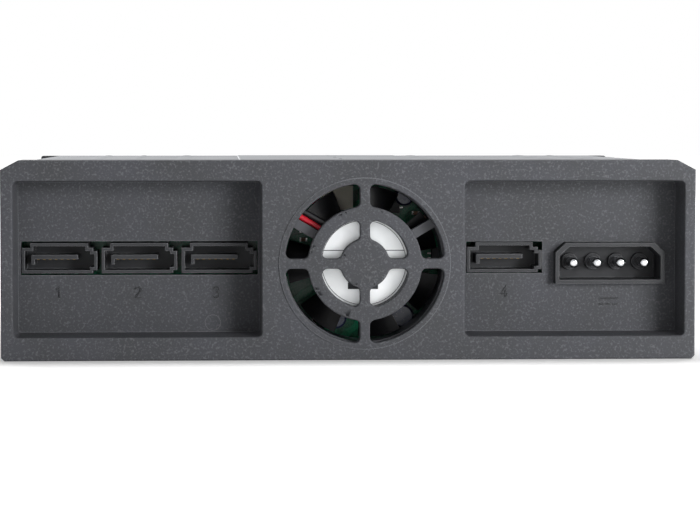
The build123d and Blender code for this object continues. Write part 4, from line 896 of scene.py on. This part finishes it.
@dataclass
class LabelPrint:
    """The plain rule, bar and border on the fan's label, with nothing written.

    Attributes:
        level_mm: Where the label lies along Y.
        middle: The fan's axis, across and up in mm, seen from behind.
        radius: The label's radius in mm.
        rule_up: How far the rule lies above the axis.
        rule_half: Half the rule's width.
        rule_margin: How far its ends stay inside the rim.
        bar: The bar's left, right, lower and upper edge.
        bar_edge: Width of the bar's broken edges.
        border_inset: How far the border stays inside the rim.
        border_w: The border's width.
        ink: Thickness of the ink.
    """

    level_mm: float = 68.72
    middle: Pair = (3.15, 20.3)
    radius: float = 9.35
    rule_up: float = 2.6
    rule_half: float = 0.09
    rule_margin: float = 0.5
    bar: tuple[float, float, float, float] = (-0.25, 6.16, 14.7, 16.1)
    bar_edge: float = 0.005
    border_inset: float = 0.35
    border_w: float = 0.12
    ink: float = 0.03

    def build(self, dresser: Dresser) -> None:
        """Print the rule, the bar and the border."""
        label = Relief(Side.REAR, self.level_mm)
        across, up = self.middle
        reach = math.sqrt(self.radius ** 2 - self.rule_up ** 2) - self.rule_margin
        level = up + self.rule_up
        label.stroke([(across - reach, level), (across + reach, level)], self.rule_half,
                     self.ink)
        left, right, low, high = self.bar
        label.block(((left + right) / 2, (low + high) / 2), (right - left, high - low),
                    (SUNK, self.ink), self.bar_edge)
        outer = self.radius - self.border_inset
        inner = outer - self.border_w
        label.turned(self.middle, [(outer, SUNK), (outer, self.ink), (inner, self.ink),
                                   (inner, SUNK)], 96)
        dresser.add("label_print", label.bm, LABEL_INK, "cage", "label_silver")


@dataclass
class BoardParts:
    """Small parts soldered on the board's rear face, seen through the grille and ports.

    Places are across and up in mm, seen from behind, and sizes are in mm.

    Attributes:
        level_mm: Where its rear face lies along Y.
        chips: Middle, width, height and rise of each chip.
        passives: Middle of each chip capacitor.
        joints: Middles of lone soldered legs.
        socket_rows: Middle of each drive socket's row of legs.
        legs: Legs in such a row.
        leg_pitch: Distance from one of them to the next.
        leg_shift: How far they stand above and below the row in turn.
        leg_cone: Radius and rise up a soldered leg.
        chip_pitch: Room along a chip's side for each of its legs.
        chip_crowd: How close they stand, as a share of that room.
        chip_leg: Width and height of such a leg.
        chip_leg_out: How far its middle lies outside the chip.
        passive_size: Width and height of a chip capacitor.
        end_size: Width and height of its soldered ends.
        end_out: How far their middles lie from its own.
    """

    level_mm: float = 53.2
    chips: tuple[tuple[float, ...], ...] = (
        (20.5, 20.5, 3.9, 4.9, 1.5), (-12.5, 21.0, 3.0, 3.0, 0.9), (9.5, 32.0, 4.4, 3.2, 1.1))
    passives: tuple[Pair, ...] = (
        (15.2, 30.3), (15.2, 28.2), (17.2, 29.4), (-9.2, 26.4), (-9.2, 24.6), (12.4, 7.4),
        (14.4, 7.4), (-6.6, 8.8), (-6.6, 7.0), (17.9, 16.4), (-13.6, 16.2), (5.6, 5.2))
    joints: tuple[Pair, ...] = ((16.0, 14.0), (15.1, 11.8), (17.2, 11.8), (18.1, 10.9))
    socket_rows: tuple[Pair, ...] = ((-46.0, 6.6), (-46.0, 26.8), (26.5, 6.6), (26.5, 26.8))
    legs: int = 12
    leg_pitch: float = 2.54
    leg_shift: float = 0.9
    leg_cone: tuple[Pair, ...] = ((0.85, SUNK), (0.8, 0.06), (0.45, 0.35), (0.3, 0.9),
                                  (0.22, 1.3), (0.1, 1.36))
    chip_pitch: float = 1.27
    chip_crowd: float = 0.8
    chip_leg: Pair = (0.8, 0.34)
    chip_leg_out: float = 0.35
    passive_size: Pair = (1.0, 0.8)
    end_size: Pair = (0.4, 0.86)
    end_out: float = 0.65

    def chip(self, bodies: Relief, metal: Relief, place: tuple[float, ...]) -> None:
        """Make one chip with a row of soldered legs on either side."""
        across, up, width, height, rise = place
        bodies.block((across, up), (width, height), (0.1, rise), 0.14)
        rows = max(2, int(height / self.chip_pitch))
        for i in range(rows):
            level = up + (i - (rows - 1) / 2) * self.chip_pitch * self.chip_crowd
            for side in (-1, 1):
                metal.block((across + side * (width / 2 + self.chip_leg_out), level),
                            self.chip_leg, (SUNK, 0.3), 0.06)

    def passive(self, bodies: Relief, metal: Relief, place: Pair) -> None:
        """Make one chip capacitor with soldered ends."""
        across, up = place
        bodies.block(place, self.passive_size, (0.02, 0.6), 0.06)
        for side in (-1, 1):
            metal.block((across + side * self.end_out, up), self.end_size, (SUNK, 0.64), 0.08)

    def build(self, dresser: Dresser) -> None:
        """Make the chips, their legs and the soldered joints: cones round clipped pins."""
        chips, ends, metal = (Relief(Side.REAR, self.level_mm) for _ in range(3))

        for place in self.chips:
            self.chip(chips, metal, place)
        for place in self.passives:
            self.passive(ends, metal, place)
        pins = list(self.joints)
        pins += [(across + (i - (self.legs - 1) / 2) * self.leg_pitch,
                  up + (self.leg_shift if i % 2 else -self.leg_shift))
                 for across, up in self.socket_rows for i in range(self.legs)]
        for place in pins:
            metal.turned(place, self.leg_cone, 14, hollow=False)

        dresser.add("board_chips", chips.bm, CHIP_EPOXY, "cage", "board_green")
        dresser.add("board_passives", ends.bm, CHIP_CERAMIC, "cage", "board_green")
        dresser.add("board_solder", metal.bm, SOLDER, "cage", "pin_tin")


@dataclass
class InletWells:
    """The wells that the power pins stand in, on the inlet's floor, dark with painted shade.

    Attributes:
        level_mm: Where the inlet's floor lies along Y.
        pins: How many pins there are.
        first: The first pin's place across in mm, seen from behind.
        pitch: Distance from one pin to the next.
        up: The pins' height.
        collar: Radius and rise round a well's section.
    """

    level_mm: float = 56.2
    pins: int = 4
    first: float = 48.38
    pitch: float = 5.08
    up: float = 19.9
    collar: tuple[Pair, ...] = ((1.85, SUNK), (1.8, 0.5), (1.65, 0.6), (1.3, 0.6),
                                (1.15, 0.45), (1.15, SUNK))

    def build(self, dresser: Dresser) -> None:
        """Make a low collar round each pin."""
        wells = Relief(Side.REAR, self.level_mm)
        for i in range(self.pins):
            wells.turned((self.first + i * self.pitch, self.up), self.collar, 32)
        dresser.add("inlet_wells", wells.bm, WELL_NYLON, "cage", "connector_black")


@dataclass
class Cage:
    """The fixed part of the object: every piece that stays still."""

    finishes: dict = field(default_factory=lambda: {
        "chassis_shell": ZINC_STEEL, "top_cover": ZINC_STEEL, "centre_divider": ZINC_STEEL,
        "front_frame": BEZEL_ABS, "rear_housing": HOUSING_ABS, "backplane_board": BOARD_MASK,
        "drive_sockets": CONNECTOR_NYLON, "data_port_contacts": CONTACT_GOLD,
        "power_inlet": CONNECTOR_NYLON, "power_pins": PIN_TIN, "fan_frame": FAN_BODY,
        "fan_stator": COPPER_WINDING, "fan_bearing": BEARING_BRONZE, "fan_label": LABEL_FILM,
        "fan_lead_red": LEAD_RED, "fan_lead_black": LEAD_BLACK, "fan_plug": PLUG_NYLON,
        "fan_header": PLUG_NYLON, "fan_screws": SCREW_STEEL, "board_screws": SCREW_STEEL,
        "cover_screws": SCREW_STEEL, "housing_screws": SCREW_STEEL,
        "status_lamps": LAMP_EPOXY, "board_capacitors": CAPACITOR_SLEEVE,
        "fan_rotor": FAN_BLADE, "fan_shaft": GROUND_STEEL, "fan_magnet": FERRITE})

    def build(self, dresser: Dresser) -> None:
        """Dress the fixed pieces and the fan."""
        for node, finish in self.finishes.items():
            dresser.dress(node, finish)
        for number in range(1, 5):
            dresser.dress(f"data_port_{number}", CONNECTOR_NYLON)
        RecessMarks().build(dresser)
        LabelPrint().build(dresser)
        BoardParts().build(dresser)
        InletWells().build(dresser)


@dataclass
class LeafSpring:
    """The folded strip that returns a release button and shortens as the button moves in.

    Attributes:
        number: The tray that it belongs to.
        left: Where its flat ends start along X, in mm.
        low: Its lower edge in mm.
        front: Where it meets the button along Y, in mm.
        back: Where it rests on the web behind, in mm.
        reach: Its width along X.
        fold: How far its middle fold stands back from the ends.
        height: The strip's height.
        strip: The strip's thickness.
        travel: How far the button moves in; not used.
        bend: How far each rounded fold starts from its corner.
        bend_shares: The points of a rounded fold, as shares of its length.
    """

    number: int
    left: float
    low: float
    front: float = -70.7
    back: float = -64.55
    reach: float = 3.6
    fold: float = 0.4
    height: float = 6.6
    strip: float = 0.25
    travel: float = 1.5
    bend: float = 0.5
    bend_shares: tuple[float, ...] = (0.0, 0.25, 0.5, 0.75, 1.0)

    def path(self) -> list[Vector]:
        """The strip's middle line along X and Y, with rounded folds."""
        half = self.strip / 2
        far = self.left + self.reach - half
        corners = [Vector((self.left, self.front + half)), Vector((far, self.front + half)),
                   Vector((self.left + self.fold + half, (self.front + self.back) / 2)),
                   Vector((far, self.back - half)), Vector((self.left, self.back - half))]
        line = [corners[0]]
        for before, here, after in zip(corners, corners[1:], corners[2:]):
            start = here + (before - here).normalized() * self.bend
            end = here + (after - here).normalized() * self.bend
            for share in self.bend_shares:
                line.append(start.lerp(here, share).lerp(here.lerp(end, share), share))
        line.append(corners[-1])
        return line

    def build(self, dresser: Dresser) -> None:
        """Fold the strip, let it ride on the tray and hide the model's own button spring."""
        line = self.path()
        sides = []
        for i, here in enumerate(line):
            run = (line[min(i + 1, len(line) - 1)] - line[max(i - 1, 0)]).normalized()
            across = Vector((-run.y, run.x)) * (self.strip / 2)
            sides.append((here + across, here - across))
        bm = bmesh.new()
        rings = [[bm.verts.new(Vector((p.x, p.y, z)) * MM)
                  for p, z in ((a, self.low), (a, self.low + self.height),
                               (b, self.low + self.height), (b, self.low))]
                 for a, b in sides]
        for near, far in zip(rings, rings[1:]):
            for i in range(4):
                j = (i + 1) % 4
                bm.faces.new((near[i], near[j], far[j], far[i]))
        bm.faces.new(rings[0])
        bm.faces.new(rings[-1])
        piece = dresser.add(f"tray_{self.number}_leaf_spring", bm, SPRING_STEEL,
                            f"tray_{self.number}", "spring_steel")
        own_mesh(piece)
        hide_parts(f"tray_{self.number}_button_spring")


@dataclass
class Tray:
    """One removable tray with its lever, button and light guide.

    Places on its front are across and up in mm from the tray's left and lower edge.

    Attributes:
        number: The bay that it sits in, which its face shows as a plain digit.
        left_mm: The tray's left edge along X.
        low_mm: Its lower edge.
        front_mm: Where its face lies along Y.
        digit_at: Middle of the digit.
        digit_h: The digit's height.
        digit_half: Half the width of its strokes.
        ink: Thickness of the ink.
        dish_mm: Where the floor of the button's dish lies along Y.
        rib_at: Middle of the button's finger ribs.
        rib_w: Length of a rib.
        rib_pitch: Distance from one rib to the next.
        rib_half: Half a rib's width.
        rib_rise: How far a rib stands out.
        spring_at: Where the leaf spring starts.
        finishes: The finish of each of its pieces.
    """

    number: int
    left_mm: float
    low_mm: float
    front_mm: float = -74.0
    digit_at: Pair = (69.9, 3.6)
    digit_h: float = 2.6
    digit_half: float = 0.17
    ink: float = 0.04
    dish_mm: float = -73.35
    rib_at: Pair = (62.3, 9.67)
    rib_w: float = 4.0
    rib_pitch: float = 1.5
    rib_half: float = 0.22
    rib_rise: float = 0.32
    spring_at: Pair = (60.5, 6.375)
    finishes: dict[str, Finish] = field(default_factory=lambda: {
        "sled": ZINC_STEEL, "bezel": BEZEL_ABS, "light_guide": CLEAR_ACRYLIC,
        "lever": LEVER_ABS, "lever_pin": GROUND_STEEL, "release_button": BUTTON_ABS,
        "button_spring": SPRING_STEEL})

    def spot(self, place: Pair) -> Pair:
        """Across and up in the model's frame of a place on the tray's front."""
        return (self.left_mm + place[0], self.low_mm + place[1])

    def build(self, dresser: Dresser) -> None:
        """Dress the tray's pieces and add its digit, finger ribs and leaf spring."""
        for piece, finish in self.finishes.items():
            dresser.dress(f"tray_{self.number}_{piece}", finish)
        self.print_digit(dresser)
        self.rib_button(dresser)
        LeafSpring(self.number, *self.spot(self.spring_at)).build(dresser)

    def print_digit(self, dresser: Dresser) -> None:
        """Print the bay's plain digit under the light guide."""
        face = Relief(Side.FRONT, self.front_mm)
        face.digit(self.number, self.spot(self.digit_at), self.digit_h, self.digit_half,
                   self.ink)
        dresser.add(f"tray_{self.number}_digit", face.bm, SCREEN_PRINT, f"tray_{self.number}",
                    "bezel_abs")

    def rib_button(self, dresser: Dresser) -> None:
        """Raise three finger ribs in the button's dish."""
        dish = Relief(Side.FRONT, self.dish_mm)
        across, up = self.spot(self.rib_at)
        half = self.rib_w / 2
        for i in (-1, 0, 1):
            level = up + i * self.rib_pitch
            dish.stroke([(across - half, level), (across + half, level)], self.rib_half,
                        self.rib_rise)
        dresser.add(f"tray_{self.number}_button_ribs", dish.bm, BUTTON_ABS,
                    f"tray_{self.number}_button", "button_abs")


# Left and lower edge in mm of the tray in each bay
BAYS = {1: (0.6, 21.3), 2: (-72.0, 21.3), 3: (0.6, 1.1), 4: (-72.0, 1.1)}


def main() -> None:
    """Build the scene in order."""
    logging.basicConfig(level=logging.INFO, format="%(name)s: %(message)s")
    bpy.context.scene.view_settings.view_transform = "Standard"
    Studio().build()
    dresser = Dresser()
    Cage().build(dresser)
    for number, (left, low) in BAYS.items():
        Tray(number, left, low).build(dresser)


if __name__ == "__main__":
    main()
